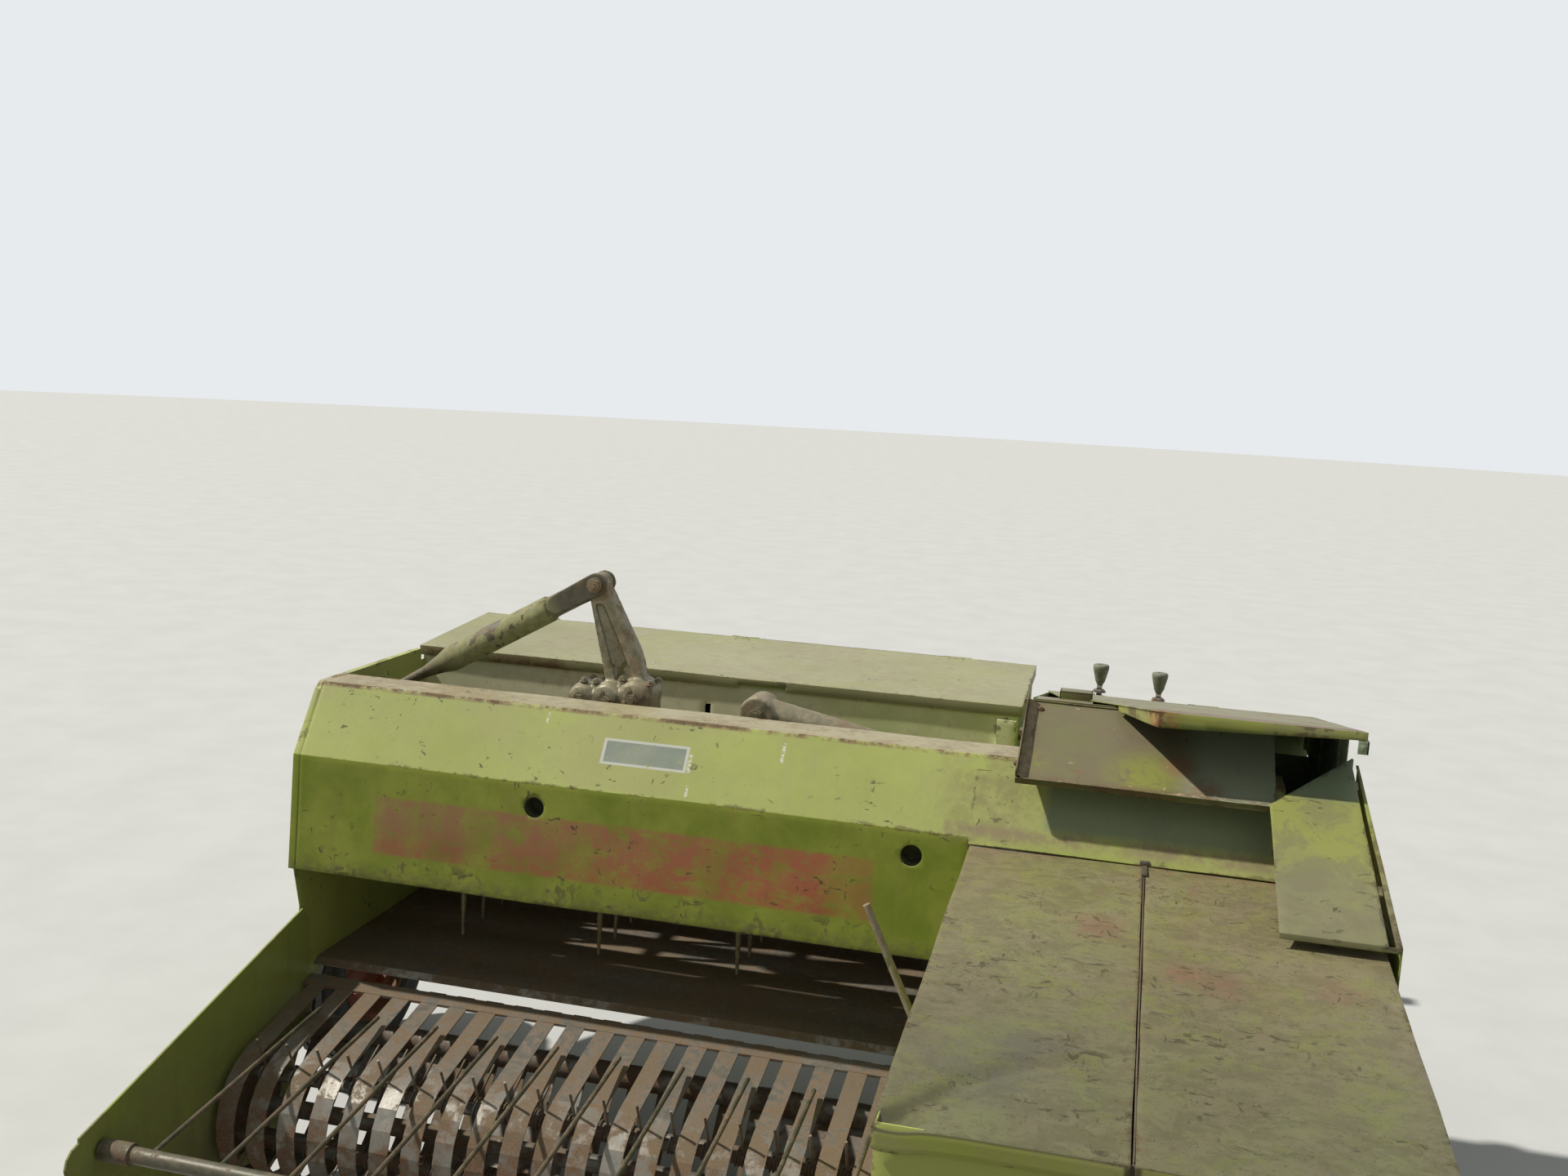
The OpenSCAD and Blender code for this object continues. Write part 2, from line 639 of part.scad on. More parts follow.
// Cast arm from the beam up to the guide link, with its bearing caps
module feeder_arm() {
    color(cast) {
        difference() {
            union() {
                along_y(feeder_y - 24, feeder_y + 24) polygon([
                    [link_top[0] - 25, link_top[2] - 10], [link_top[0] + 26, link_top[2] - 4],
                    [hub[0] + 58, hub[2] + 110], [hub[0] + 92, hub[2]], [hub[0] - 16, hub[2]]]);
                rod_y(link_top[0], feeder_y - 24, feeder_y + 24, link_top[2], 27);
            }
            rod_y(link_top[0], feeder_y - 40, feeder_y + 40, link_top[2], 14.3);
            // hollows in the web
            for (s = [-1, 1])
                along_y(feeder_y + (s < 0 ? -30 : 14), feeder_y + (s < 0 ? -14 : 30))
                    polygon([[link_top[0] - 4, link_top[2] - 50], [link_top[0] + 18, link_top[2] - 50],
                        [hub[0] + 56, hub[2] + 34], [hub[0] + 2, hub[2] + 34]]);
        }
        // bearing caps round the hub
        for (c = [[-76, -16, 40], [-10, -14, 46], [62, -2, 46]])
            turned([hub[0] + c[0], feeder_y - 58, hub[2] + c[1]], [0, 1, 0], [[0, 0], [c[2]*0.45, 0], [c[2]*0.82, 5],
                [c[2]*0.97, 16], [c[2], 30], [c[2], 86], [c[2]*0.97, 100], [c[2]*0.82, 111], [c[2]*0.45, 116], [0, 116]]);
        block(hub[0] - 84, hub[0] + 104, feeder_y - 46, feeder_y + 46, beam_z + 26 + gap, hub[2] - 24);
        for (c = [[-76, 26], [-44, 26], [26, 40], [98, 34]])
            rod_z(hub[0] + c[0], feeder_y - 34, beam_z + 30, hub[2] + c[1], 9);
    }
}
// Tube with a forged fork at its upper end
link_r = 34;
module guide_link() {
    d = unit(link_top - link_low);
    fork0 = link_top - d*30;
    body1 = link_top - d*150;
    color(green) {
        turned(link_low + d*14, d, [[0, 0], [12, 0], [15, 100], [24, 150], [link_r, 186],
            [link_r, norm(body1 - link_low) - 14], [0, norm(body1 - link_low) - 14]]);
        difference() {
            rod_y(link_low[0], feeder_y - 16, feeder_y + 16, link_low[2], 22);
            rod_y(link_low[0], feeder_y - 20, feeder_y + 20, link_low[2], 10 + gap);
        }
    }
    color(cast) {
        // flattened cheeks on both sides of the arm's eye, and the block they are forged from
        for (s = [-1, 1])
            along_y(feeder_y + s*31 - 6, feeder_y + s*31 + 6)
                polygon(link([link_top[0], link_top[2]], 29, [fork0[0] - d[0]*90, fork0[2] - d[2]*90], 25));
        translate(link_top - d*105) rotate([0, -atan2(d[2], d[0]), 0])
            difference() {
                translate([-60, -26, -27]) cube([84, 52, 54]);
                for (s = [-1, 1])
                    translate([-12, s*26, 0]) rotate([90, 0, 0]) cylinder(h = 16, r = 6, center = true);
            }
        rod_y(link_top[0], feeder_y - 44, feeder_y + 44, link_top[2], 14);
    }
}
// Tapered feeder rod from its knuckle to the crank above the chamber
module feeder_rod() {
    d = unit(crank_pin - knuckle);
    color(cast) {
        difference() {
            union() {
                bar(knuckle + d*20, crank_pin - d*20, 39, 18);
                rod_y(knuckle[0], feeder_y - 42, feeder_y + 42, knuckle[2], 44);
                rod_y(crank_pin[0], feeder_y - 24, feeder_y + 24, crank_pin[2], 32);
            }
            rod_y(crank_pin[0], feeder_y - 40, feeder_y + 40, crank_pin[2], 16 + gap);
        }
        // bolted lug down to the beam, and the stay beside it
        block(knuckle[0] - 22, knuckle[0] + 22, feeder_y - 24, feeder_y + 24, beam_z + 26 + gap, knuckle[2] - 20);
        bar([knuckle[0] - 20, feeder_y - 30, knuckle[2] + 8], [knuckle[0] - 74, feeder_y - 30, beam_z + 34], 9, 7);
    }
}
module feeder_drive() {
    c = feeder_centre;
    top = wall_high;
    color(cast) {
        rod_y(c[0], feeder_y - 60, feeder_y - 34, c[2], 128);
        rod_y(crank_pin[0], feeder_y - 40, feeder_y + 34, crank_pin[2], 16);
        rod_y(crank_pin[0], feeder_y - 60, feeder_y - 30, crank_pin[2], 34);
        rod_y(c[0], feeder_y - 120, feeder_y - 60 + eps, c[2], 46);
        block(c[0] - 90, c[0] + 90, feeder_y - 210, feeder_y - 110, roof_h + wall, c[2] + 70);
        rod_y(c[0], feeder_y - 235, feeder_y - 210 + eps, c[2], 60);
        // chain wheel at the front
        rod_x(c[0] + 90 - eps, shield_x0 - 30, feeder_y - 160, c[2] - 20, 16);
    }
}

// Knotter hood

hood_x0 = hood_len + 85;
hood_x1 = shield_x0;
tray_slope = atan(tray_rise / tray_run);
tray_len = norm([tray_run, tray_rise]);
lid_y0 = 0;
lid_x0 = chamber_x + 67;
lid_x1 = shield_x1 - 50;
lid_slope = atan(lid_fall / (knotter_depth - lid_y0));
function lid_top(y) = lid_front_h - (y - lid_y0) * tan(lid_slope);
function lid_under(y) = lid_top(y) - sheet - gap;
function tray_under(y) = tray_h + y * tray_rise / tray_run - sheet / cos(tray_slope) - gap;

module knotter_tray() {
    color(faded) translate([0, 0, tray_h]) rotate([tray_slope, 0, 0]) {
        block(hood_x0, hood_x1, 0, tray_len, -sheet, 0);
        block(hood_x0, hood_x0 + sheet, 0, tray_len, -eps, 30);
        block(hood_x0, hood_x1, -sheet, eps, -sheet, 13);
        block(hood_x0, hood_x1, tray_len - sheet, tray_len, -eps, 4);
    }
}
knotter_hinges = [hood_x0 + 120, hood_x1 - 120];
knotter_back = knotter_depth - hinge_r - 2;
knotter_hinge = [knotter_depth, lid_top(knotter_back) - hinge_r - 1];
knotter_y = needle_y0 + 150;
knotter_h = roof_h + 170;
module knotter_hood() {
    front = slope_run + rim_w + 6;
    back = knotter_back;
    foot = roof_h + wall;
    crook = tray_run + 14;
    shield_low = shield_top(shield_y1) - 110;
    color(green) {
        difference() {
            for (x = [hood_x0 + 8, hood_x1 - 12])
                along_x(x, x + sheet) polygon([[front, x < chamber_x ? foot : wall_high],
                    [back, x < chamber_x ? foot : wall_high], [back, lid_under(back)], [crook, lid_under(crook)],
                    [crook, tray_under(tray_run) - 8], [tray_run - 8, tray_under(tray_run - 8)],
                    [front, tray_under(front)]]);
            // holes for the feeder rod, its drive and the knotter shaft
            block(hood_x0, hood_x0 + 20, feeder_y - 80, feeder_y + 80, wall_high, crease_h + 120);
            rod_x(hood_x1 - 20, hood_x1, feeder_y - 160, crease_h, 24);
            rod_x(hood_x1 - 20, hood_x1, knotter_y, knotter_h, 26);
        }
        along_y(back - sheet, back) polygon([[hood_x0 + 8, foot], [chamber_in_x1, foot], [chamber_in_x1, wall_high],
            [hood_x1 - 9, wall_high], [hood_x1 - 9, shield_low], [lid_x1 - sheet - 2, shield_low],
            [lid_x1 - sheet - 2, lid_under(back)], [hood_x0 + 8, lid_under(back)]]);
        hinge_pin(knotter_hinges, knotter_hinge[0], knotter_hinge[1], knotter_depth - back + eps);
        // stays to the chamber's side wall
        for (y = [front, back - 30])
            block(chamber_in_x1, hood_x1 - 9, y, y + 30, wall_high, wall_high + 10);
    }
}
// Lid with its outer front corner cut away, and folded front and end flanges
module knotter_lid() {
    x1 = lid_x1;
    rear = knotter_hinge[0] - hinge_r - clear;
    tab = knotter_hinge[0] - 34;
    cut = [[hood_x0 + 62, tray_run + 176], [hood_x0 + 133, tray_run + 160], [lid_x0, lid_y0]];
    color(faded) difference() {
        union() {
            intersection() {
                along_x(0, x1) polygon([[lid_y0, lid_top(lid_y0)], [lid_y0, lid_top(lid_y0) - sheet],
                    [rear, lid_top(rear) - sheet], [rear, lid_top(rear)]]);
                translate([0, 0, tray_h]) linear_extrude(500) polygon([[lid_x0, lid_y0 - 1], [x1, lid_y0 - 1], [x1, rear + 1],
                    [hood_x0 + 4, rear + 1], cut[0], cut[1]]);
            }
            along_y(lid_y0, lid_y0 + sheet) polygon([[lid_x0, lid_front_h - 35], [x1, lid_front_h - 17],
                [x1, lid_front_h - 1], [lid_x0, lid_front_h - 1]]);
            // flange along the cut corner
            intersection() {
                along_x(0, x1) polygon([[lid_y0, lid_top(lid_y0) - 1], [lid_y0, lid_top(lid_y0) - 35],
                    [tray_run - 24, lid_top(tray_run - 24) - 16], [tray_run - 20, lid_top(tray_run - 20) - 2.9],
                    [rear, lid_top(rear) - 2.9], [rear, lid_top(rear) - 1]]);
                translate([0, 0, tray_h]) linear_extrude(500) polygon(folded(cut, sheet));
            }
            along_x(x1 - sheet, x1) polygon([[lid_y0, lid_top(lid_y0) - 22], [rear, lid_top(rear) - 22],
                [rear, lid_top(rear) - 1], [lid_y0, lid_top(lid_y0) - 1]]);
            hinge_barrel(knotter_hinges, knotter_hinge[0], knotter_hinge[1]);
            for (x = knotter_hinges)
                along_x(x - 20, x + 20) polygon([[tab, lid_top(tab) - 2.8], [knotter_hinge[0], knotter_hinge[1] + 5.5],
                    [knotter_hinge[0], knotter_hinge[1] + hinge_r], [tab, lid_top(tab) - 0.4]]);
        }
        hinge_bore(knotter_hinges, knotter_hinge[0], knotter_hinge[1]);
    }
}
// Two knotters on their shaft, and the shaft's chain wheel
module knotters() {
    y = knotter_y;
    z = knotter_h;
    color(cast) {
        rod_x(hood_x0 + 14, hood_x1 + 22, y, z, 19);
        rod_x(hood_x1 + 6, hood_x1 + 14, y, z, 62);
        for (s = [-1, 1]) translate([chamber_x + s*knot_offset, 0, 0]) {
            difference() {
                rod_x(-9, 9, y, z, 112);
                for (a = [20, 140, 260]) translate([0, y, z]) rotate([a, 0, 0]) rod_x(-10, 10, 0, 66, 22);
            }
            rod_x(-26, 26, y, z, 34);
            // bracket, bill hook and twine disc
            along_x(28, 42) polygon([[y - 90, roof_h + wall + 10], [y + 150, roof_h + wall + 10],
                [y + 150, roof_h + wall + 30], [y + 60, z + 30], [y - 60, z + 30], [y - 90, roof_h + wall + 30]]);
            block(24, 70, y - 90, y + 150, roof_h + wall, roof_h + wall + 12);
            bar([42 - eps, y + 60, z - 60], [66, y + 76, z - 66], 12, 12);
            rod_x(42 - eps, 74, y + 104, roof_h + wall + 60, 36);
            bar([62, y + 30, z - 90], [62, y - 60, z - 128], 9, 5);
            rod_x(42 - eps, 70, y + 30, z - 84, 16);
        }
    }
}
// Curved needles on a yoke that swings under the chamber
yoke = [1050, floor_h + 80];
needle_r = 420;
module needle_yoke() {
    tip = 193;
    foot = 250;
    foot_p = yoke + needle_r * [cos(foot), sin(foot)];
    color(cast) {
        for (s = [-1, 1]) {
            along_x(chamber_x + s*knot_offset - 7, chamber_x + s*knot_offset + 7)
                polygon(concat(arc(yoke, needle_r - 11, tip + 1.5, foot, 10), arc(yoke, needle_r + 13, foot, tip + 4, 10)));
            // arm outside the chamber wall, and its pivot
            x = s < 0 ? wall_x0 - 12 - 7 : wall_x1 + 7;
            along_x(x, x + 12) polygon(link(yoke, 34, foot_p, 26));
            rod_x(s < 0 ? wall_x0 - 26 : wall_x1, s < 0 ? wall_x0 : wall_x1 + 26, yoke[0], yoke[1], 16);
        }
        rod_x(wall_x0 - 8, wall_x1 + 8, foot_p[0], foot_p[1], 21);
    }
}

// Side drive and its shield

function shield_top(y) = crease_h - 8 + (y - shield_y0) * 0.0685;
// Front plate of the shield, which rises over the end of the knotter tray, and the corners of its rear edge
shield_front_h = crease_h - 8;
shield_pitch = (tray_h + 16 - shield_front_h) / (-12 - shield_y0);
shield_corner = [shield_x0 - 16, -12];
shield_end = [shield_x1 - 55, 146];
shield_bend = [shield_x1 - 44, 126];
module pitched(slope, h0) { multmatrix([[1, 0, 0, 0], [0, 1, 0, 0], [0, slope, 1, h0], [0, 0, 0, 1]]) children(); }
module drive_shield() {
    h0 = shield_front_h - shield_pitch*shield_y0;
    along = unit(shield_end - shield_corner);
    web0 = shield_corner + along * (shield_x0 + 28 - shield_corner[0]) / along[0];
    color(green) {
        pitched(shield_pitch, h0 - sheet) {
            linear_extrude(sheet) polygon([[shield_x0 - 6, shield_y0], [shield_x1 - 24, shield_y0],
                [shield_x1 - 57, shield_end[1] - 24], shield_end, shield_corner]);
            // flange of the outer wall, and straps under the gap beside it
            linear_extrude(sheet) polygon([[shield_x1 - 12, shield_y0], [shield_x1, shield_y0], shield_bend,
                shield_bend - [6, 0]]);
            for (y = [shield_y0 + 120, shield_y0 + 390])
                block(shield_x1 - 76, shield_x1 - 13 - (y - shield_y0)*0.09, y, y + 22, -4, eps);
        }
        block(shield_x0 - 6, shield_x1, shield_y0, shield_y0 + sheet, shield_front_h - 12, shield_front_h - 1);
        // side under the flange and web under the plate's rear edge, both cut off along the plate
        intersection() {
            pitched(0.0685, shield_top(0) - 1) linear_extrude(400) {
                polygon([[shield_x1 - sheet, shield_y0], [shield_x1, shield_y0], shield_bend, shield_bend - [sheet, 0]]);
                polygon([web0, shield_end, shield_end + [3, -3], web0 + [3, -3]]);
            }
            pitched(shield_pitch, h0 - 1) block(0, 3000, -1000, 1000, -800, 0);
        }
        // low rear plate over the chain, with the ledge beside the front plate, and the outer wall
        pitched(0.0685, shield_top(0) - sheet) linear_extrude(sheet) polygon([[shield_x1 - sheet, shield_y0],
            [shield_x1, shield_y0], [shield_x1, shield_y1], [shield_x0 + 57, shield_y1], web0, shield_end, shield_bend]);
        along_x(shield_x1 - sheet, shield_x1) polygon([[shield_y0, 790], [shield_y1, 790],
            [shield_y1, shield_top(shield_y1) - 1], [shield_y0, shield_top(shield_y0) - 1]]);
        // stays to the chamber wall
        for (y = [60, 560])
            block(wall_x1, shield_x1 - sheet + eps, y, y + 30, wall_high - 60, wall_high - 52);
    }
}
// Long shaft from the main gears back to the knotter drive's chain wheel
module side_drive() {
    x = chamber_in_x1 + 68;
    z = roof_h - 40;
    color(cast) {
        front = chamber_front + 20;
        back = knotter_y - 20;
        rod_y(x, front, back - 20, z, 15);
        rod_y(x, front - 12, front + eps, z, 58);
        for (y = [front + 40, back - 90])
            block(wall_x1, x + 30, y, y + 34, z - 30, z + 30);
        block(x - 30, x + 30, back - 40, back + 40, z - 36, z + 36);
        rod_x(x + 30 - eps, hood_x1 + 16, back, z, 16);
        rod_x(hood_x1 + 6, hood_x1 + 14, back, z, 52);
    }
}

// Bale density gear

rail_y0 = roof_rear + 10;
rail_x = 98;
rail_hh = 40;
cross_top = roof_h + 2 + rail_hh + 12;
bridge_low = roof_h + 60;
bridge_top = roof_h + 108;
spindle_y = chamber_rear - 132;
spindle_r = 10;
module tension_bridge() {
    color(green) {
        for (s = [-1, 1]) {
            x = s < 0 ? wall_x0 - 24 - 34 : wall_x1 + 24;
            block(x, x + 34, spindle_y - 30, spindle_y + 30, wall_low, bridge_top);
        }
        difference() {
            block(wall_x0 - 58, wall_x1 + 58, spindle_y - 30, spindle_y + 30, bridge_low, bridge_top);
            for (s = [-1, 1])
                rod_z(chamber_x + s*rail_x, spindle_y, roof_h, bridge_top + 50, spindle_r + 3);
        }
    }
}
module tension_rails() {
    color(green) {
        for (s = [-1, 1])
            block(chamber_x + s*rail_x - 26, chamber_x + s*rail_x + 26, rail_y0, chamber_rear + 8,
                roof_h + 2, roof_h + 2 + rail_hh);
        for (y = [rail_y0 + 270, rail_y0 + 590, spindle_y - 18])
            block(chamber_in_x0 + 4, chamber_in_x1 - 4, y, y + 36, roof_h + 2 + rail_hh - eps, cross_top);
        for (s = [-1, 1])
            block(chamber_x + s*206 - 20, chamber_x + s*206 + 20, rail_y0 + 270, chamber_rear - 40,
                roof_h + 2 + rail_hh - 8, roof_h + 2 + rail_hh + eps);
    }
}
// Spindles with their springs, on the bridge, and cranks with turned grips
crank_arm = 34;
module tension_crank(lift) {
    top = bridge_top + 34 + lift;
    color(steel) {
        rod_z(0, 0, cross_top, top, spindle_r);
        // coil spring between the bridge and the nut
        rotate_extrude() polygon(concat([[spindle_r - 1, bridge_top]],
            [for (i = [0:8]) [i % 2 == 0 ? 16 : 23, bridge_top + (28 + lift) * i / 8]],
            [[spindle_r - 1, bridge_top + 28 + lift]]));
        rod_z(0, 0, top - 6 - eps, top, 20);
        along_x(-8, 8) polygon([[-10, top - eps], [crank_arm + 9, top - eps], [crank_arm + 9, top + 8], [-10, top + 8]]);
    }
    color(black)
        translate([0, crank_arm, top + 8 - eps]) rotate_extrude() polygon([[0, 0], [9, 0], [14, 10], [21, 34],
            [26, 54], [27, 66], [22, 72], [0, 72]]);
}
module tension_cranks() {
    lifts = [12, 2];
    for (i = [0, 1])
        translate([chamber_x + (i*2 - 1)*rail_x, spindle_y, 0]) tension_crank(lifts[i]);
}
module star_wheel() {
    color(steel) translate([chamber_x, star_y, star_h]) rotate([0, 90, 0]) difference() {
        union() {
            linear_extrude(8, center = true)
                polygon([for (a = [0:36:324], t = [[-16, 94], [-9, 94], [-1, 130], [3, 130], [9, 94]])
                    t[1] * [cos(a + t[0]), sin(a + t[0])]]);
            cylinder(h = 34, r = 22, center = true);
        }
        cylinder(h = 60, r = 10 + gap, center = true);
        for (a = [0:72:288])
            rotate([0, 0, a]) translate([60, 0, 0]) cylinder(h = 20, r = 17, center = true);
    }
}

// Controls

module pickup_lever() {
    color(steel) {
        y = chamber_front + 60;
        z = roof_h - 98;
        bar([housing_x0 - 4, y, z + 10], [housing_x0 - 134, y, crease_h], 8, 7);
        rod_y(housing_x0 - 10, y - 20, y + 20, z, 13);
        block(housing_x0 - 18, housing_x0 + 4, y - 40, y + 40, z - 26, z + 26);
    }
}

// Wheels

function tyre_profile(r, w, bead) = concat(
    [[bead, -w*0.36], [bead + 14, -w*0.36], [bead + 24, -w*0.44]],
    arc([r - w*0.30, -w*0.22], w*0.28, 270, 340, 5),
    [[r, -w*0.13], [r, -w*0.11], [r - 9, -w*0.10], [r - 9, -w*0.04], [r, -w*0.03],
     [r, w*0.03], [r - 9, w*0.04], [r - 9, w*0.10], [r, w*0.11], [r, w*0.13]],
    arc([r - w*0.30, w*0.22], w*0.28, 20, 90, 5),
    [[bead + 24, w*0.44], [bead + 14, w*0.36], [bead, w*0.36]]);
module wheel_at(x, z) { translate([x, axle_y, z]) rotate([0, 90, 0]) children(); }
module tyre(r, w, bead) { color(black) rotate_extrude() polygon(tyre_profile(r, w, bead)); }
// Pressed steel rim with a dished disc, hand holes and a hub; out is +1 or -1 for the dish's side
module rim(r, w, out) {
    edge = w*0.36 + gap;
    lip = edge + 4;
    color(faded) difference() {
        union() {
            rotate_extrude() polygon([[r - 6, -lip], [r + 10, -lip], [r + 10, -edge], [r - gap, -edge],
                [r - gap, -w*0.2], [r - 22, -w*0.14], [r - 22, w*0.14], [r - gap, w*0.2], [r - gap, edge],
                [r + 10, edge], [r + 10, lip], [r - 6, lip], [r - 6, w*0.2 + 3], [r - 27, w*0.14 + 3],
                [r - 27, -w*0.14 - 3], [r - 6, -w*0.2 - 3]]);
            mirror([0, 0, out < 0 ? 1 : 0]) {
                rotate_extrude() polygon([[stub_axle_r + 6, w*0.02], [r*0.45, w*0.02], [r*0.72, w*0.12],
                    [r - 25, -w*0.02], [r - 25, w*0.02], [r*0.73, w*0.16], [r*0.44, w*0.06], [stub_axle_r + 6, w*0.06]]);
                translate([0, 0, -w*0.26]) cylinder(h = w*0.50, r = stub_axle_r + 18);
            }
        }
        cylinder(h = 2*w, r = stub_axle_r + gap, center = true);
        for (a = [0:60:300])
            rotate([0, 0, a]) translate([r*0.66, 0, 0]) cylinder(h = w, r = 15, center = true);
    }
}
bead_in = 190;
bead_out = 178;
module tyre_inner() { wheel_at(wheel_in_x, tyre_in_d/2) tyre(tyre_in_d/2, tyre_in_w, bead_in); }
module rim_inner() { wheel_at(wheel_in_x, tyre_in_d/2) rim(bead_in, tyre_in_w, 1); }
module tyre_outer() { wheel_at(wheel_out_x, tyre_out_d/2) tyre(tyre_out_d/2, tyre_out_w, bead_out); }
module rim_outer() { wheel_at(wheel_out_x, tyre_out_d/2) rim(bead_out, tyre_out_w, -1); }

// Pickup

band_end = [46, floor_h - 26];
band_foot = [24, 304];
band_tube = [30, 330];
band_tube_r = 28;
band_c = [reel_y, reel_h];
// Angle at which a straight run from p touches the circle of the bands
function touch(p, side) = let (d = p - band_c) atan2(d[1], d[0]) + side * acos(band_r / norm(d));
band_top = touch(band_end, 1);
band_low = touch(band_foot, -1);
n_tines = floor((plate_x1 - plate_x0 - plate_t - 60) / tine_pitch);
tine_x0 = (plate_x0 + plate_t + plate_x1 - n_tines*tine_pitch) / 2;
module pickup_plates() {
    outline = concat([[4, 634], [-plate_reach + 40, 436]], arc([-plate_reach + 40, 386], 40, 90, 235, 5),
        [[-480, 150]], arc([reel_y, 220], 165, 215, 320, 7), [[pivot_y + 34, pivot_h - 30]],
        arc([pivot_y, pivot_h], 34, -30, 75, 5), [[30, 600]]);
    color(green) {
        for (x = [plate_x0, plate_x1])
            difference() {
                along_x(x, x + plate_t) polygon(outline);
                rod_x(x - 1, x + plate_t + 1, pivot_y, pivot_h, 12 + gap);
                rod_x(x - 1, x + plate_t + 1, guard_y, guard_h, 14 + gap);
                rod_x(x - 1, x + plate_t + 1, reel_y, reel_h, 20 + gap);
            }
        // boss and stub axle of the gauge wheel
        rod_x(-18, plate_x0 + eps, gauge_y, gauge_d/2, 32);
        rod_x(gauge_x - gauge_w/2 - 6, -18 + eps, gauge_y, gauge_d/2, 14);
    }
}
// Bands wrapped round the reel, on their cross tube and the angle under their rear ends
module pickup_bands() {
    slope = (band_end[1] - band_c[1] - band_r*sin(band_top)) / (band_end[0] - band_c[0] - band_r*cos(band_top));
    color(steel) {
        for (i = [0:n_tines])
            translate([tine_x0 + i*tine_pitch - band_w/2, 0, 0])
                along_x(0, band_w) polygon(folded(concat([band_foot], arc(band_c, band_r, band_low, band_top - 360, 12),
                    [band_end]), -sheet));
        rod_x(plate_x0 + plate_t, plate_x1, band_tube[0], band_tube[1], band_tube_r);
        along_x(plate_x0 + plate_t, plate_x1) polygon([[0, band_end[1] - band_end[0]*slope + 1],
            band_end + [-4, 1 - 4*slope], band_end - [4, 5], [0, band_end[1] - band_end[0]*slope - 5]]);
    }
}
module reel() {
    x0 = plate_x0 + plate_t;
    color(steel) translate([0, reel_y, reel_h]) {
        rod_x(x0 - 4, plate_x1 + 4, 0, 0, 20);
        for (x = [x0 + 8, plate_x1 - 16])
            rod_x(x, x + 8, 0, 0, 118);
        for (a = [0:90:270]) rotate([a + 20, 0, 0]) {
            rod_x(x0 + 8, plate_x1 - 8, 0, 100, 13);
            for (i = [0:n_tines-1])
                bar([tine_x0 + (i + 0.5)*tine_pitch, 0, 100], [tine_x0 + (i + 0.5)*tine_pitch, -12, tine_r], tine_d/2, tine_d/2);
        }
    }
}
gauge_y = -315;
gauge_x = -24 - gauge_w/2;
module gauge_wheel() {
    translate([gauge_x, gauge_y, gauge_d/2]) rotate([0, 90, 0]) {
        color(black) rotate_extrude() polygon(concat([[14 + gap, -gauge_w*0.46], [32, -gauge_w*0.46],
            [36, -gauge_w*0.30], [70, -gauge_w*0.30], [78, -gauge_w*0.44]],
            arc([gauge_d/2 - 24, -gauge_w/2 + 24], 24, 270, 360, 4), arc([gauge_d/2 - 24, gauge_w/2 - 24], 24, 0, 90, 4),
            [[78, gauge_w*0.44], [70, gauge_w*0.30], [36, gauge_w*0.30], [32, gauge_w*0.46], [14 + gap, gauge_w*0.46]]));
    }
}
module crop_guard() {
    x0 = plate_x0 + plate_t;
    n = floor((n_tines - 1) / rod_step);
    color(steel) translate([0, guard_y, guard_h]) {
        rod_x(x0 + clear, plate_x1 - clear, 0, 0, guard_d/2);
        rod_x(x0 + clear, x0 + clear + 68, 0, 0, guard_d/2 + 5);
        rod_x(plate_x0 - 3, plate_x1 + plate_t + 3, 0, 0, 14);
        for (i = [0:n]) {
            x = tine_x0 + (i*rod_step + 1)*tine_pitch;
            bar([x, 0, 10], [x, rod_len, guard_d/2 + 42], rod_d/2, rod_d/2);
        }
    }
}

// Drawbar, in its own line from the pivot to the hitch

module on_drawbar() { translate([drawbar_pivot[0], drawbar_pivot[1], 0]) rotate([0, 0, drawbar_turn]) children(); }
drawbar_half = 45;
jack_side = 48;
jack_hole = jack_side/2 + gap;
jack_x = -drawbar_half - 10 - jack_hole;
module drawbar() {
    low = beam_low + ear_t + 2*gap;
    high = wall_low - ear_t - 2*gap;
    half = drawbar_half;
    sleeve = jack_side/2 + 11;
    color(green) on_drawbar() difference() {
        union() {
            // beam, tapered towards the hitch
            translate([0, 0, low]) linear_extrude(high - low) polygon([[-40, 0], [-half, -60], [-half, -drawbar_len + 330],
                [-hitch_lug + 4, -drawbar_len + 90], [hitch_lug - 4, -drawbar_len + 90], [half, -drawbar_len + 330],
                [half, -60], [40, 0]]);
            rod_z(0, 0, low, high, 40);
            block(-hitch_lug, hitch_lug, -drawbar_len, -drawbar_len + 100, drawbar_h - hitch_t/2, drawbar_h + hitch_t/2);
            rod_z(0, -drawbar_len, drawbar_h - hitch_t/2, drawbar_h + hitch_t/2, hitch_lug);
            block(jack_x - sleeve, -half + 12, -jack_at - sleeve, -jack_at + sleeve, drawbar_h - 90, drawbar_h + 170);
        }
        rod_z(0, 0, 0, 1000, drawbar_pin_r + gap);
        rod_z(0, -drawbar_len, 0, 1000, hitch_r);
        block(jack_x - jack_hole, jack_x + jack_hole, -jack_at - jack_hole, -jack_at + jack_hole, 0, 1000);
        block(-half + 6, half - 6, -drawbar_len + 350, -90, low + 6, high - 6);
    }
}
// Square leg with a foot plate and a cross pin at its top
module jack_leg() {
    h = jack_side/2;
    color(steel) on_drawbar() {
        block(jack_x - h, jack_x + h, -jack_at - h, -jack_at + h, 8 - eps, drawbar_h + 190);
        block(jack_x - 70, jack_x + 70, -jack_at - 70, -jack_at + 70, 0, 8);
        rod_y(jack_x, -jack_at - 40, -jack_at + 40, drawbar_h + 182, 7);
    }
}

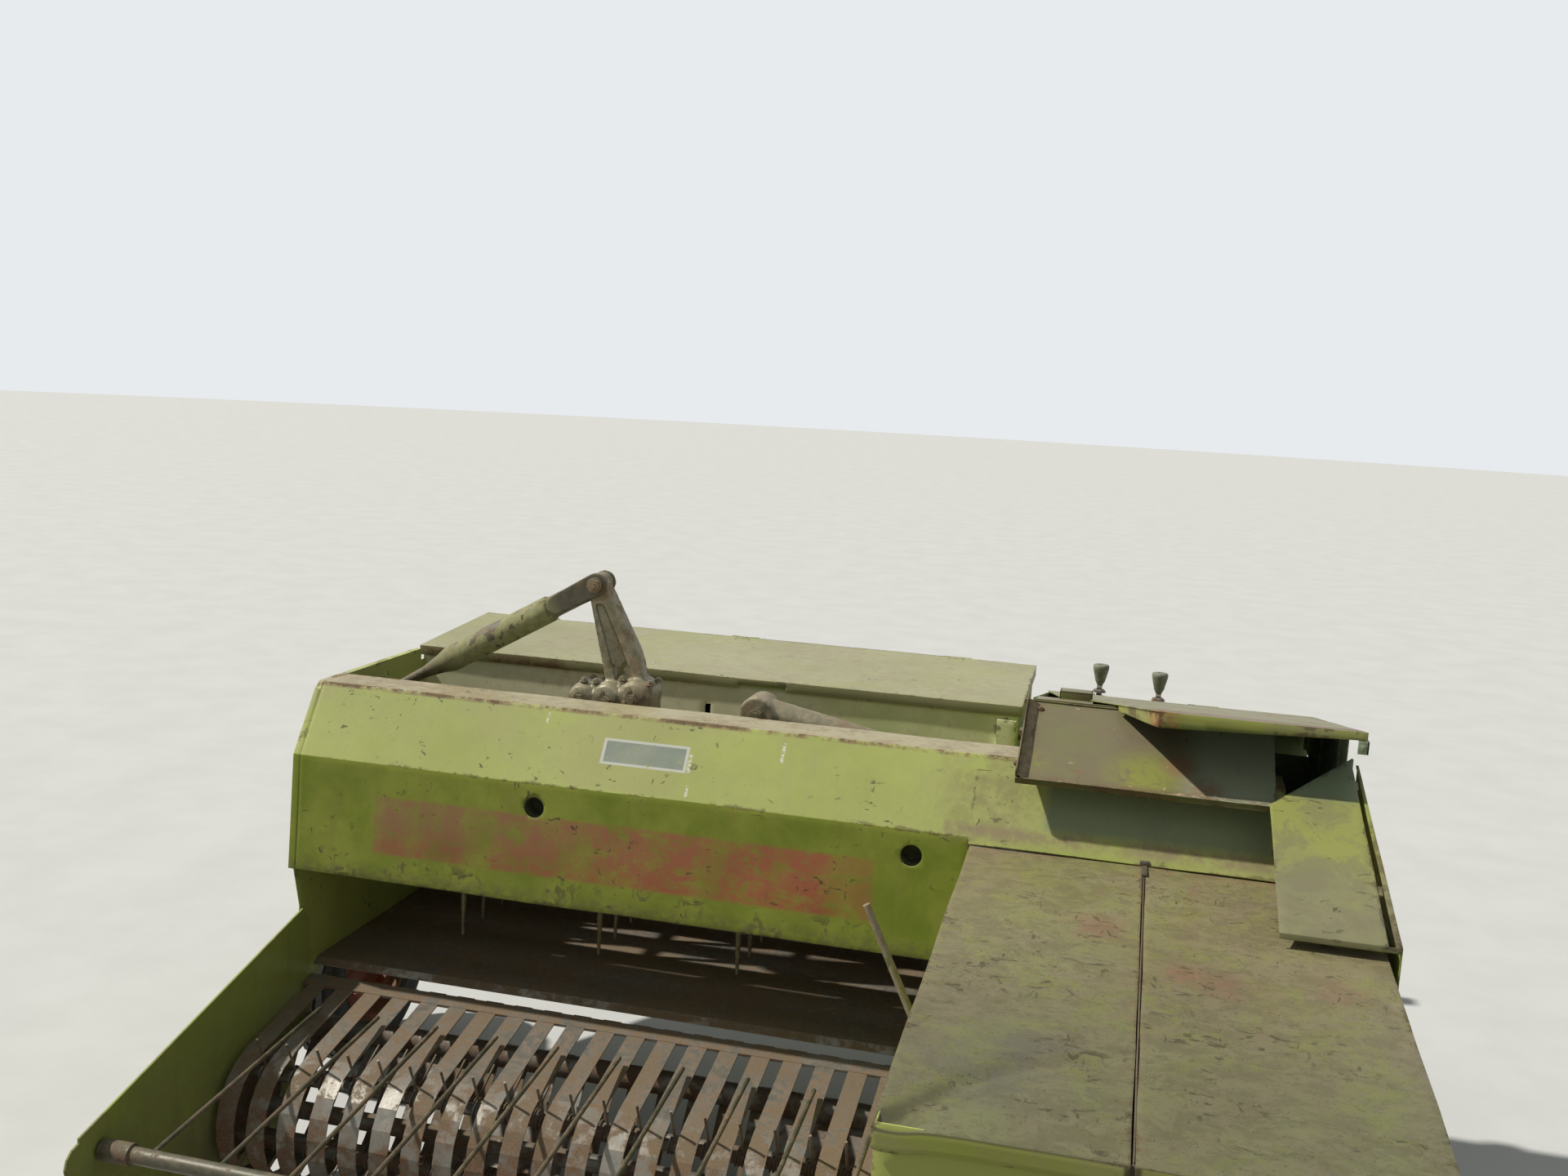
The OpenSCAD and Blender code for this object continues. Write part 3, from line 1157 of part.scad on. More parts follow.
module chute() {
    color(green) difference() {
        translate([0, chute_y, chute_h]) {
            rotate([-chute_fall, 0, 0]) {
                difference() {
                    block(chamber_in_x0 + 6, chamber_in_x1 - 6, 30, chute_len, -4, 0);
                    for (s = [-1, 1])
                        block(chamber_x + s*110 - 55, chamber_x + s*110 + 55, 120, chute_len - 60, -10, 10);
                }
                for (x = [chamber_in_x0 + 6, chamber_in_x1 - 10])
                    along_x(x, x + 4) polygon([[40, -4], [chute_len, -4], [chute_len, chute_side], [130, chute_side]]);
                for (x = [chamber_in_x0 + 20, chamber_in_x1 - 44])
                    block(x, x + 24, 0, 34, -8, 0);
            }
            for (x = [chamber_in_x0 + 20, chamber_in_x1 - 44])
                rod_x(x, x + 24, 0, 0, 14);
        }
        rod_x(chamber_in_x0, chamber_in_x1, chute_y, chute_h, 8 + gap);
    }
}

placed() chamber_side_outer();
placed() chamber_side_inner();
placed() chamber_floor();
placed() chamber_roof();
placed() main_frame();
placed() axle();
placed() gearbox();
placed() crank_and_rod();
placed() plunger();
placed() cover_outer();
placed() cover_inner();
placed() housing_walls();
placed() hood_front();
placed() hood_end();
placed() feed_floor();
placed() feed_deck();
placed() twine_box();
placed() feeder_beam();
placed() feeder_arm();
placed() guide_link();
placed() feeder_rod();
placed() feeder_drive();
placed() knotter_tray();
placed() knotter_hood();
placed() knotters();
placed() needle_yoke();
placed() drive_shield();
placed() side_drive();
placed() tension_bridge();
placed() tension_rails();
placed() tension_cranks();
placed() pickup_lever();
placed() flywheel();
placed() tyre_inner();
placed() rim_inner();
placed() tyre_outer();
placed() rim_outer();
placed() pickup_plates();
placed() pickup_bands();
placed() reel();
placed() gauge_wheel();
placed() crop_guard();
placed() drawbar();
placed() jack_leg();
placed() chute();
placed() twine_lid();
placed() knotter_lid();
placed() star_wheel();
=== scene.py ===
import json
import math

import bmesh
import bpy
from mathutils import Matrix, Vector, kdtree, noise


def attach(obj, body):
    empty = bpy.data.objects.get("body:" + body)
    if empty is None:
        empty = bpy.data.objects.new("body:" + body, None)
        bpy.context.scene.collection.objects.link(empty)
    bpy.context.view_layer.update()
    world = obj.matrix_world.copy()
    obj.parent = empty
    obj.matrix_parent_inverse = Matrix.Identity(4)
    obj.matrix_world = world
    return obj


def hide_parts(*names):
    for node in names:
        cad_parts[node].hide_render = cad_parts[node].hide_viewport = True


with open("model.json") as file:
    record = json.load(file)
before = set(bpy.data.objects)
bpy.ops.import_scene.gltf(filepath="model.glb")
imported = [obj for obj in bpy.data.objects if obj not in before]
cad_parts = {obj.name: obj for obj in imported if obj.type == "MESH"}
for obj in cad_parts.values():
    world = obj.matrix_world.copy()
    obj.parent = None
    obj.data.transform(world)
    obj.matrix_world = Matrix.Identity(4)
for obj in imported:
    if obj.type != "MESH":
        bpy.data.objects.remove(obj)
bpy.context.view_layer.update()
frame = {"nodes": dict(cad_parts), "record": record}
record = frame["record"]
bodyOf = {n: b for b, nodes in record["behaviour"]["bodies"].items() for n in nodes}
print("frame loaded:", len(frame["nodes"]), "nodes")

midX, midY = 1.120, 0.148706         # stations are measured from the hood's outer end and from its crease
toLeft, toRight, toFront, toRear, toSky = (-1, 0, 0), (1, 0, 0), (0, -1, 0), (0, 1, 0), (0, 0, 1)


def at(x, y, z):                      # a station in millimetres, as a point in the frame
    return Vector((x / 1000 - midX, y / 1000 - midY, z / 1000))


# Camera: on the tractor's seat, looking back and down over the hood
camera = {"place": (1.928, -3.152, 1.976), "turn": 0.234, "dip": 0.138, "roll": 0.055, "lens": 34.455}


def makeCamera():
    turn, dip, roll = camera["turn"], camera["dip"], camera["roll"]
    forward = Vector((-math.sin(turn) * math.cos(dip), math.cos(turn) * math.cos(dip), -math.sin(dip)))
    side = Vector((math.cos(turn), math.sin(turn), 0))
    top = side.cross(forward)
    right = side * math.cos(roll) + top * math.sin(roll)
    up = top * math.cos(roll) - side * math.sin(roll)
    data = bpy.data.cameras.new("seatCamera")
    data.lens, data.sensor_width, data.sensor_fit = camera["lens"], 36, "HORIZONTAL"
    data.clip_start, data.clip_end = 0.05, 400
    cam = bpy.data.objects.new("seatCamera", data)
    cam.matrix_world = Matrix.Translation(Vector(camera["place"]) - Vector((midX, midY, 0))) @ \
        Matrix((right, up, -forward)).transposed().to_4x4()
    bpy.context.scene.collection.objects.link(cam)
    bpy.context.scene.camera = cam


light = {"sun": 3.5, "sunColor": (1.0, 0.975, 0.93), "softness": 0.03, "from": (-0.61, -0.11, 0.78),
         "sky": 0.26, "skyColor": (0.93, 0.97, 1.0), "roomColor": (0.80, 0.83, 0.85)}


def directRays(tree):                 # 1 for the rays that see the pale surroundings: camera, glossy, transmission
    path = tree.nodes.new("ShaderNodeLightPath")
    value = path.outputs["Is Camera Ray"]
    for k in ("Is Glossy Ray", "Is Transmission Ray"):
        n = tree.nodes.new("ShaderNodeMath")
        n.operation = "MAXIMUM"
        tree.links.new(value, n.inputs[0])
        tree.links.new(path.outputs[k], n.inputs[1])
        value = n.outputs[0]
    return value


def makeLight():
    lamp = bpy.data.lights.new("highSun", "SUN")
    lamp.energy, lamp.angle, lamp.color = light["sun"], light["softness"], light["sunColor"]
    o = bpy.data.objects.new("highSun", lamp)
    o.rotation_mode = "QUATERNION"
    o.rotation_quaternion = Vector(light["from"]).to_track_quat("Z", "Y")
    bpy.context.scene.collection.objects.link(o)
    world = bpy.data.worlds.new("paleRoom")
    world.use_nodes = True
    tree = world.node_tree
    tree.nodes.clear()
    out = tree.nodes.new("ShaderNodeOutputWorld")
    soft, pale, mix = [tree.nodes.new("ShaderNode" + k) for k in ("Background", "Background", "MixShader")]
    for shade, color, strength in ((soft, light["skyColor"], light["sky"]), (pale, light["roomColor"], 1)):
        shade.inputs[0].default_value = (*color, 1)
        shade.inputs[1].default_value = strength
    for i, source in enumerate((directRays(tree), soft.outputs[0], pale.outputs[0])):
        tree.links.new(source, mix.inputs[i])
    tree.links.new(mix.outputs[0], out.inputs[0])
    bpy.context.scene.world = world
    bpy.context.scene.view_settings.view_transform = "Standard"


class Val:                            # a socket; its operators add Math nodes
    def __init__(self, tree, socket):
        self.tree, self.socket = tree, socket

    def math(self, operation, *others, flip=False):
        n = self.tree.nodes.new("ShaderNodeMath")
        n.operation = operation
        values = [self, *others]
        for i, v in enumerate(values[::-1] if flip else values):
            feed(self.tree, n.inputs[i], v)
        return Val(self.tree, n.outputs[0])

    def __add__(self, o): return self.math("ADD", o)
    def __sub__(self, o): return self.math("SUBTRACT", o)
    def __rsub__(self, o): return self.math("SUBTRACT", o, flip=True)
    def __mul__(self, o): return self.math("MULTIPLY", o)
    def __or__(self, o): return self.math("MAXIMUM", o)
    __radd__, __rmul__ = __add__, __mul__


def feed(tree, socket, v):
    if isinstance(v, Val):
        tree.links.new(v.socket, socket)
    elif isinstance(v, bpy.types.NodeSocket):
        tree.links.new(v, socket)
    elif isinstance(v, (tuple, list, Vector)) and len(v) == 3 and socket.type == "RGBA":
        socket.default_value = (*v, 1)
    else:
        socket.default_value = v


class Finish:                         # one material, built node by node; color is what has been laid on so far
    def __init__(self, name, scales=None):
        self.mat = bpy.data.materials.new(name)
        self.mat.use_nodes = True
        self.tree = self.mat.node_tree
        self.tree.nodes.clear()
        coords = self.tree.nodes.new("ShaderNodeTexCoord")
        self.place = coords.outputs["Object"]
        for names, source in (("x y z", self.place), ("nx ny nz", coords.outputs["Normal"])):
            split = self.tree.nodes.new("ShaderNodeSeparateXYZ")
            self.tree.links.new(source, split.inputs[0])
            for k, s in zip(names.split(), split.outputs):
                setattr(self, k, Val(self.tree, s))
        for k, numbers in (scales or {}).items():
            setattr(self, k, self.noise(*numbers))

    def node(self, kind, settings, sockets, out=0):
        n = self.tree.nodes.new("ShaderNode" + kind)
        for k, v in settings.items():
            setattr(n, k, v)
        for k, v in sockets.items():
            feed(self.tree, n.inputs[k], v)
        return Val(self.tree, n.outputs[out])

    def noise(self, scale, detail=3, rough=0.55, warp=0.0, stretch=(1, 1, 1), shift=(0, 0, 0)):
        vec = self.node("Mapping", {}, {"Vector": self.place, "Scale": stretch, "Location": shift})
        return self.node("TexNoise", {}, {"Vector": vec, "Scale": scale, "Detail": detail, "Roughness": rough,
                                          "Distortion": warp})

    def ease(self, v, low, high, to=(0, 1)):
        return self.node("MapRange", {"interpolation_type": "SMOOTHSTEP"},
                         {"Value": v, "From Min": low, "From Max": high, "To Min": to[0], "To Max": to[1]})

    def mix(self, fac, a, b, kind="MIX"):
        n = self.tree.nodes.new("ShaderNodeMix")
        n.data_type, n.blend_type = "RGBA", kind
        for i, v in ((0, fac), (6, a), (7, b)):
            feed(self.tree, n.inputs[i], v)
        return Val(self.tree, n.outputs[2])

    def lay(self, mask, color, kind="MIX"):   # a layer of colour where the mask is
        self.color = self.mix(mask, self.color, color, kind)

    def ramp(self, axis, start, end, shake=None):   # 0 to 1 between two stations along an axis
        i, v = "xyz".index(axis), getattr(self, axis)
        return self.ease(v if shake is None else v + shake, at(start, start, start)[i], at(end, end, end)[i])

    def blotch(self, low, high, share=0.5):   # ragged patches, from the grain's share and the cloud's
        return self.ease(self.grain * share + self.cloud * (1 - share), low, high)

    def crumbs(self, low, high, share=0.5):   # the same, smaller, from the fine noise's share and the grain's
        return self.ease(self.fine * share + self.grain * (1 - share), low, high)

    def flecks(self, stretch, low, high, shift=(0, 0, 0)):   # small dark marks, longer one way
        n = self.noise(34, 3, 0.6, 0.6, stretch=stretch, shift=shift)
        return self.ease(n, low, high) * self.ease(self.cloud, 0.44, 0.58)

    def inside(self, lo, hi, soft=0.004):   # mask of a box between two stations; None leaves a side open
        a, b, m = at(*[v or 0 for v in lo]), at(*[v or 0 for v in hi]), None
        for axis, i, low, high in zip((self.x, self.y, self.z), range(3), lo, hi):
            sides = []
            if low is not None:
                sides.append(self.ease(axis, a[i] - soft, a[i] + soft))
            if high is not None:
                sides.append(self.ease(axis, b[i] + soft, b[i] - soft))
            for s in sides:
                m = s if m is None else m * s
        return m

    def near(self, x, y, z, low, high):     # mask that fades from 1 to 0 between two distances from a station
        d = self.node("VectorMath", {"operation": "DISTANCE"}, {0: self.place, 1: at(x, y, z)}, out="Value")
        return self.ease(d, high / 1000, low / 1000)

    def attribute(self, name):
        return self.node("Attribute", {"attribute_name": name}, {}, out="Fac")

    def close(self, color, rough, metallic=0.0, bump=None, strength=0.3, distance=0.002, **constants):
        shader = self.tree.nodes.new("ShaderNodeBsdfPrincipled")
        for k, v in (("Base Color", color), ("Roughness", rough), ("Metallic", metallic)):
            feed(self.tree, shader.inputs[k], v)
        for k, v in constants.items():
            shader.inputs[k.replace("_", " ")].default_value = v
        if bump is not None:
            b = self.node("Bump", {}, {"Strength": strength, "Distance": distance, "Height": bump})
            self.tree.links.new(b.socket, shader.inputs["Normal"])
        out = self.tree.nodes.new("ShaderNodeOutputMaterial")
        self.tree.links.new(shader.outputs[0], out.inputs[0])
        return self.mat


def scaled(color, k):
    return [min(1, c * k) for c in color]


dirt = {"earth": (0.155, 0.122, 0.075), "oldRust": (0.095, 0.046, 0.024), "freshRust": (0.33, 0.115, 0.036),
        "soil": (0.20, 0.17, 0.105)}


def paint(name, base, pale, dust=(0.235, 0.20, 0.125), fading=0.6, dusty=0.4, rusty=0.3, dirty=0.5, marks=None):
    f = Finish(name, {"tone": (1.7, 4, 0.6), "cloud": (6.5, 6, 0.62, 0.3), "grain": (42, 5, 0.7),
                      "fine": (190, 3, 0.6)})
    tone, cloud, grain, fine = f.tone, f.cloud, f.grain, f.fine
    f.up = up = f.ease(f.nz, 0.25, 0.92)
    f.color = f.mix(f.ease(tone, 0.35, 0.65), scaled(base, 0.88), scaled(base, 1.10))
    f.lay(f.ease(cloud * 0.6 + tone * 0.4, 0.30, 0.68) * (0.22 + 0.78 * up) * fading, pale)
    streak = f.ease(f.noise(9, 5, 0.7, stretch=(3.2, 3.2, 0.32)), 0.48, 0.78) * (1 - up)
    f.lay(streak * 0.35 * dirty, scaled(base, 0.5))
    settled = f.blotch(0.42, 0.66) * (0.12 + 0.88 * up) * dusty
    f.lay(settled, dust)
    low = f.ease(f.z, 0.62, 0.18) * f.ease(cloud, 0.25, 0.7) * dirty
    f.lay(low, dirt["earth"])
    if marks:
        marks(f)
    chips = f.ease(grain * 0.62 + cloud * 0.38, 0.665 - 0.05 * rusty, 0.70 - 0.05 * rusty) * rusty
    wear = f.attribute("wear")
    edge = f.ease(wear + (grain - 0.5) * 1.5 + (cloud - 0.5) * 2.4, 0.92, 1.2) * f.ease(wear, 0.35, 0.8)
    f.lay(edge * min(0.85, 0.3 + rusty), f.mix(f.ease(fine, 0.42, 0.6), scaled(dust, 0.55), dirt["oldRust"]))
    f.lay(chips, f.mix(f.ease(fine, 0.4, 0.6), dirt["oldRust"], dirt["freshRust"]))
    f.lay(f.ease(fine, 0.66, 0.73) * f.ease(cloud, 0.40, 0.6) * 0.6, scaled(base, 0.22))
    rough = f.ease(settled + chips + edge + low, 0.0, 0.8, (0.42, 0.88)) + (grain - 0.5) * 0.12
    height = grain * 0.35 + fine * 0.25 - chips * 0.6 - edge * 0.5 + settled * 0.2
    return f.close(f.color, rough, bump=height, strength=0.32, distance=0.0016, Specular_IOR_Level=0.22)


def metal(name, base, rust, rusty=0.5, dirty=0.4, shine=0.42, metallic=0.0, paintLeft=None, leftAbove=0.53, bare=()):
    f = Finish(name, {"cloud": (7, 6, 0.65, 0.4), "grain": (48, 5, 0.7), "fine": (220, 3, 0.6)})
    cloud, grain, fine = f.cloud, f.grain, f.fine
    f.color = f.mix(f.ease(grain, 0.3, 0.7), scaled(base, 0.72), scaled(base, 1.2))
    rusted = f.blotch(0.60 - 0.28 * rusty, 0.72 - 0.24 * rusty, 0.4)
    f.lay(rusted, f.mix(f.crumbs(0.38, 0.62, 0.6), rust, scaled(rust, 1.9)))
    if paintLeft:
        chipped = f.noise(11, 5, 0.62, 0.5, shift=(3, 1, 7)) * 0.8 + grain * 0.2
        left = f.ease(chipped, leftAbove, leftAbove + 0.035)
        for place in bare:            # spheres round stations that have lost their paint
            left = left * (1 - f.near(*place))
        f.lay(left, f.mix(f.ease(grain, 0.35, 0.7), paintLeft, scaled(paintLeft, 0.66)))
        rusted = rusted | left
    wear = f.attribute("wear") * f.ease(grain, 0.38, 0.6)
    f.lay(wear * 0.5, scaled(base, 1.8))
    soil = f.ease(f.nz, 0.1, 0.9) * f.ease(cloud, 0.3, 0.62) * dirty
    f.lay(soil, dirt["soil"])
    dull = rusted | soil
    rough = f.ease(dull, 0, 1, (shine, 0.9)) + (fine - 0.5) * 0.15
    return f.close(f.color, rough, (1 - dull) * metallic, bump=grain * 0.6 + fine * 0.4, strength=0.4, distance=0.0012)


hoodPlaces = {"band": ((207, None, 806), (1415, 120, 944)), "hem": ((None, -30, 742), (None, 6, 800)),
              "foot": ((None, -30, 706), (None, 6, 768)), "slope": ((None, 2, 1022), (None, 108, 1179)),
              "rimTop": ((None, 106, 1176), (None, 240, 1186)), "rim": ((None, 97, 1172), (None, 108, 1186)),
              "inner": ((1560, 0, 1000), (2300, 110, 1190)), "underTray": ((1775, 0, 1050), (2240, 112, 1172)),
              "aboveCovers": ((1560, 0, 1012), (2250, 112, 1046)), "plate": ((753, None, 1076), (960, 200, 1129)),
              "plateField": ((760, None, 1081), (953, 200, 1124))}
hoodScratches = (((962, None, 1078), (970, 130, 1114)), ((969, None, 1030), (975, 130, 1052)),
                 ((1174, None, 1119), (1181, 130, 1158)), ((600, None, 1146), (605, 130, 1168)))


def hoodMarks(f):
    # the lower face keeps its deeper green, with the worn red band along it
    box = hoodPlaces
    face = f.ease(f.ny, -0.86, -0.97)
    f.lay(face * 0.9, f.mix(f.ease(f.cloud, 0.3, 0.7), (0.185, 0.235, 0.018), (0.335, 0.365, 0.055)))
    streaks = f.ease(f.noise(7, 5, 0.6, 0.4, stretch=(2.6, 1, 0.5), shift=(2, 0, 1)), 0.50, 0.66)
    f.lay(face * streaks * 0.5, (0.30, 0.295, 0.06))
    patches = f.ease(f.noise(4.2, 4, 0.6, 0.9, stretch=(1.6, 1, 0.7), shift=(5, 0, 3)), 0.40, 0.54)
    worn = f.ease(f.noise(15, 6, 0.75, 0.9, stretch=(0.6, 1, 1.3)) * 0.65 + f.grain * 0.35, 0.32, 0.56)
    red = f.mix(f.ramp("x", box["band"][0][0], box["band"][1][0]), (0.38, 0.19, 0.112), (0.52, 0.120, 0.095))
    red = f.mix(f.ramp("z", 900, 810) * 0.45, red, (0.42, 0.085, 0.05))
    f.lay(f.inside(*box["band"], 0.006) * face * (worn * (0.50 + 0.50 * patches)) * 0.84, red)
    splashes = f.flecks((1.3, 1, 0.7), 0.56, 0.62, (1, 5, 2)) | f.flecks((0.8, 1, 1.4), 0.60, 0.64, (6, 1, 2))
    f.lay(f.inside(*box["hem"], 0.014) * splashes * 0.7, (0.13, 0.105, 0.045))
    f.lay(f.inside(*box["foot"], 0.016) * f.ease(f.grain, 0.35, 0.6) * 0.55, (0.15, 0.13, 0.065))
    # the slope: greyer clouds, a rust line where it turns into the rim, scratches, and the blank plate
    grey = f.ease(f.noise(3.2, 6, 0.62, 0.7, stretch=(0.8, 1, 1), shift=(1, 4, 2)), 0.42, 0.64)
    f.lay(f.inside(*box["slope"], 0.006) * grey * 0.45, (0.40, 0.375, 0.19))
    dusty = f.mix(f.blotch(0.42, 0.60), (0.40, 0.34, 0.22), (0.30, 0.22, 0.14))
    f.lay(f.inside(*box["rimTop"], 0.003) * f.up * 0.85, dusty)
    f.lay(f.inside(*box["rim"], 0.003) * f.blotch(0.43, 0.55) * 0.85, (0.235, 0.145, 0.085))
    dark = f.flecks((0.8, 1.4, 1.6), 0.645, 0.685) | f.flecks((1.6, 1, 0.8), 0.672, 0.705, (3, 3, 3))
    f.lay(dark * 0.8, (0.075, 0.068, 0.035))
    f.lay(f.inside(*box["inner"], 0.05) * f.blotch(0.42, 0.62) * 0.55, (0.25, 0.215, 0.10))
    # painted shadow: the slope under the knotter tray is tinted the blue-grey of the tray's cast shadow
    f.lay(f.inside(*box["underTray"], 0.012) * 0.85, (0.225, 0.275, 0.165))
    f.lay(f.inside(*box["aboveCovers"], 0.008) * f.blotch(0.36, 0.56) * 0.8, (0.30, 0.235, 0.14))
    for lo, hi in hoodScratches:
        f.lay(f.inside(lo, hi, 0.0022) * f.ease(f.fine, 0.40, 0.5), (0.74, 0.72, 0.60))
    field = f.mix(f.ease(f.cloud, 0.35, 0.65), (0.25, 0.29, 0.24), (0.33, 0.35, 0.27))
    blank = f.mix(f.inside(*box["plateField"], 0.0010), (0.62, 0.62, 0.55), field)
    f.lay(f.inside(*box["plate"], 0.0010) * f.crumbs(0.36, 0.42) * (1 - face), blank)


coverPlaces = {"seam": 1988, "seamStrip": ((1976, None, 800), (2000, None, 1100)), "smear": (1800, -915, 944, 20, 190),
               "rust": ((1905, -345, 981, 5, 100, 0.8), (2060, -495, 971, 5, 75, 1), (2130, -520, 970, 5, 85, 1),
                        (2200, -535, 969, 5, 70, 0.8), (2330, -480, 973, 5, 100, 0.5), (2275, 20, 1006, 10, 90, 1))}


def coverMarks(f):
    # dust over the green, rust that runs from the rear edge and along the seam, and small dark flecks
    up = f.up
    f.lay(f.ease(f.noise(2.3, 6, 0.6, 0.6, stretch=(1.5, 0.8, 1)), 0.34, 0.60) * 0.85 * up, (0.265, 0.222, 0.128))
    f.lay(f.ease(f.noise(21, 8, 0.78, 0.5, stretch=(0.8, 1.2, 1)), 0.45, 0.56) * 0.62 * up, (0.185, 0.168, 0.082))
    green = f.ease(f.noise(6, 6, 0.7, 0.6, shift=(2, 8, 1)), 0.46, 0.60) * f.ease(f.noise(27, 6, 0.75, 0.4), 0.42, 0.58)
    f.lay(green * 0.62 * up, (0.27, 0.285, 0.085))
    seam = f.ease((f.x - at(coverPlaces["seam"], 0, 0).x).math("ABSOLUTE"), 0.030, 0.004) * f.ease(f.grain, 0.40, 0.62)
    rear = f.ramp("y", -70, 10) * f.blotch(0.42, 0.60, 0.4)
    runs = f.ease(f.noise(5.5, 6, 0.7, 0.5, stretch=(2.6, 0.6, 1)), 0.60, 0.68) * 0.5
    spots = None
    for *place, share in coverPlaces["rust"]:
        spot = f.near(*place) * share
        spots = spot if spots is None else spots | spot
    rust = (seam * 0.4 | rear * 0.75 | runs * 0.6 | spots * f.blotch(0.40, 0.58, 0.3)) * up
    f.lay(rust * 0.75, f.mix(f.crumbs(0.38, 0.64), (0.205, 0.14, 0.083), (0.35, 0.19, 0.105)))
    smear = f.near(*coverPlaces["smear"]) * f.ease(f.noise(9, 4, 0.6, 0.3, stretch=(0.6, 1.4, 1)), 0.36, 0.56)
    f.lay(smear * 0.9 * up, (0.185, 0.170, 0.118))
    dark = f.flecks((0.7, 1.5, 1), 0.60, 0.65) | f.flecks((1.7, 0.8, 1), 0.62, 0.67, (2, 1, 0))
    f.lay(dark * 0.8 * up, (0.095, 0.085, 0.04))
    skirt = f.mix(f.ease(f.cloud, 0.35, 0.6), (0.44, 0.485, 0.10), (0.465, 0.45, 0.17))
    f.lay((1 - up) * 0.8, f.mix(f.inside(*coverPlaces["seamStrip"], 0.003), skirt, (0.085, 0.065, 0.04)))
    # painted shade: the bend between the top and the front skirt, which the sun lights brightly, is darkened
    fold = f.ease(f.nz, 0.02, 0.12) * f.ease(f.nz, 0.992, 0.92) * f.ramp("y", -990, -1010)
    f.lay(fold * 0.9, (0.155, 0.145, 0.075))
    f.lay(f.ease(f.fine, 0.60, 0.68) * 0.6 * up, (0.10, 0.085, 0.045))
    duller = f.mix(f.ramp("y", -1050, -150), (0.62, 0.64, 0.64), (0.95, 0.90, 0.95))   # to the front
    f.lay(up, duller, "MULTIPLY")


def trayMarks(f):
    # dry earth lies on the tray, thickest along its left side and its front lip
    f.lay(f.ease(f.noise(3.4, 7, 0.66, 0.8), 0.36, 0.56) * 0.85 * f.up, (0.195, 0.158, 0.098))
    green = (f.near(1975, 50, 1183, 20, 120) | f.near(1735, 60, 1186, 5, 60) * 0.8) * f.blotch(0.40, 0.54)
    f.lay(green * 0.85, (0.27, 0.285, 0.06))
    # painted shade tone: the tray's right part, in the knotter lid's shadow, turns pale blue-green like sky-lit shade
    f.lay(f.ramp("x", 2020, 2120) * 0.80, (0.38, 0.44, 0.30))
    rust = (f.near(2045, 95, 1203, 8, 55) | f.near(2095, 32, 1170, 8, 60)) * f.blotch(0.38, 0.54, 0.6)
    f.lay(rust * 0.8, (0.27, 0.15, 0.085))
    corner = f.inside((1700, -20, 1140), (1738, 260, 1330), 0.012)
    corner = corner | f.inside((1700, -20, 1140), (2250, 22, 1180), 0.010)
    f.lay(corner * f.blotch(0.40, 0.56) * 0.8, (0.175, 0.12, 0.068))
    lip = f.mix(f.ease(f.cloud, 0.4, 0.6), (0.115, 0.125, 0.035), (0.12, 0.085, 0.045))
    f.lay(f.ease(f.ny, -0.7, -0.9) * 0.8, lip)
    runs = f.ease(f.noise(8, 6, 0.72, 0.6), 0.61, 0.67)
    f.lay(runs * 0.6, f.mix(f.ease(f.fine, 0.4, 0.62), (0.15, 0.09, 0.05), (0.30, 0.14, 0.07)))


def lidMarks(f):
    # the knotter lid: rust along its fold, an eaten corner, greener flanges
    f.lay(f.ease(f.noise(3.4, 6, 0.62, 0.7, shift=(2, 2, 2)), 0.40, 0.62) * 0.6 * f.up, (0.215, 0.165, 0.095))
    ridge = f.ramp("y", 14, 30) * f.ramp("y", 240, 60) * f.up * f.ramp("x", 1960, 2010)
    f.lay(ridge * f.blotch(0.26, 0.46), (0.165, 0.088, 0.052))
    green = f.mix(f.ease(f.cloud, 0.36, 0.62), (0.40, 0.43, 0.10), (0.36, 0.35, 0.155))
    low = f.ramp("z", 1322, 1308) * f.ramp("y", 12, 6)
    f.lay((1 - f.up) * 0.9, f.mix(low, green, (0.105, 0.14, 0.03)))
    corner = f.near(1985, 8, 1322, 14, 70) * f.crumbs(0.40, 0.54, 0.4)
    f.lay(corner * 0.9, f.mix(f.ease(f.fine, 0.42, 0.6), (0.22, 0.10, 0.04), (0.50, 0.22, 0.07)))
    # painted shade: the faces that look down are painted nearly black
    f.lay(f.ease(f.nz, -0.3, -0.8) * 0.9, (0.05, 0.055, 0.03))


def boxMarks(f):
    # the twine lid: sun-bleached, with rust on the left part of its front flange and small rust runs
    flange = f.inside((-20, 612, 1140), (420, 640, 1190), 0.02) * (1 - f.up) * f.blotch(0.40, 0.56)
    f.lay(flange * 0.85, (0.17, 0.085, 0.045))
    mottle = f.ease(f.noise(5, 7, 0.7, 0.8, shift=(7, 1, 3)), 0.46, 0.60)
    f.lay(mottle * f.up * 0.5, (0.31, 0.275, 0.155))
    green = f.ease(f.noise(2.6, 5, 0.6, 0.8, shift=(1, 9, 3)), 0.48, 0.60) * f.ease(f.grain, 0.36, 0.6)
    f.lay(green * f.up * 0.5, (0.34, 0.36, 0.13))
    f.lay(f.flecks((0.8, 1.3, 1), 0.66, 0.70) * 0.7, (0.10, 0.085, 0.045))


bodyPlaces = {"shield": ((2215, -340, 1000), (2460, 200, 1300)), "trough": ((0, 560, 860), (1660, 650, 1160)),
              "frontWall": ((1500, -1150, 830), (2480, -1112, 960)),
              "seamStrip": ((1975, None, 860), (2001, None, 1010)),
              "underLid": ((2180, 20, 1000), (2398, 940, 1300))}


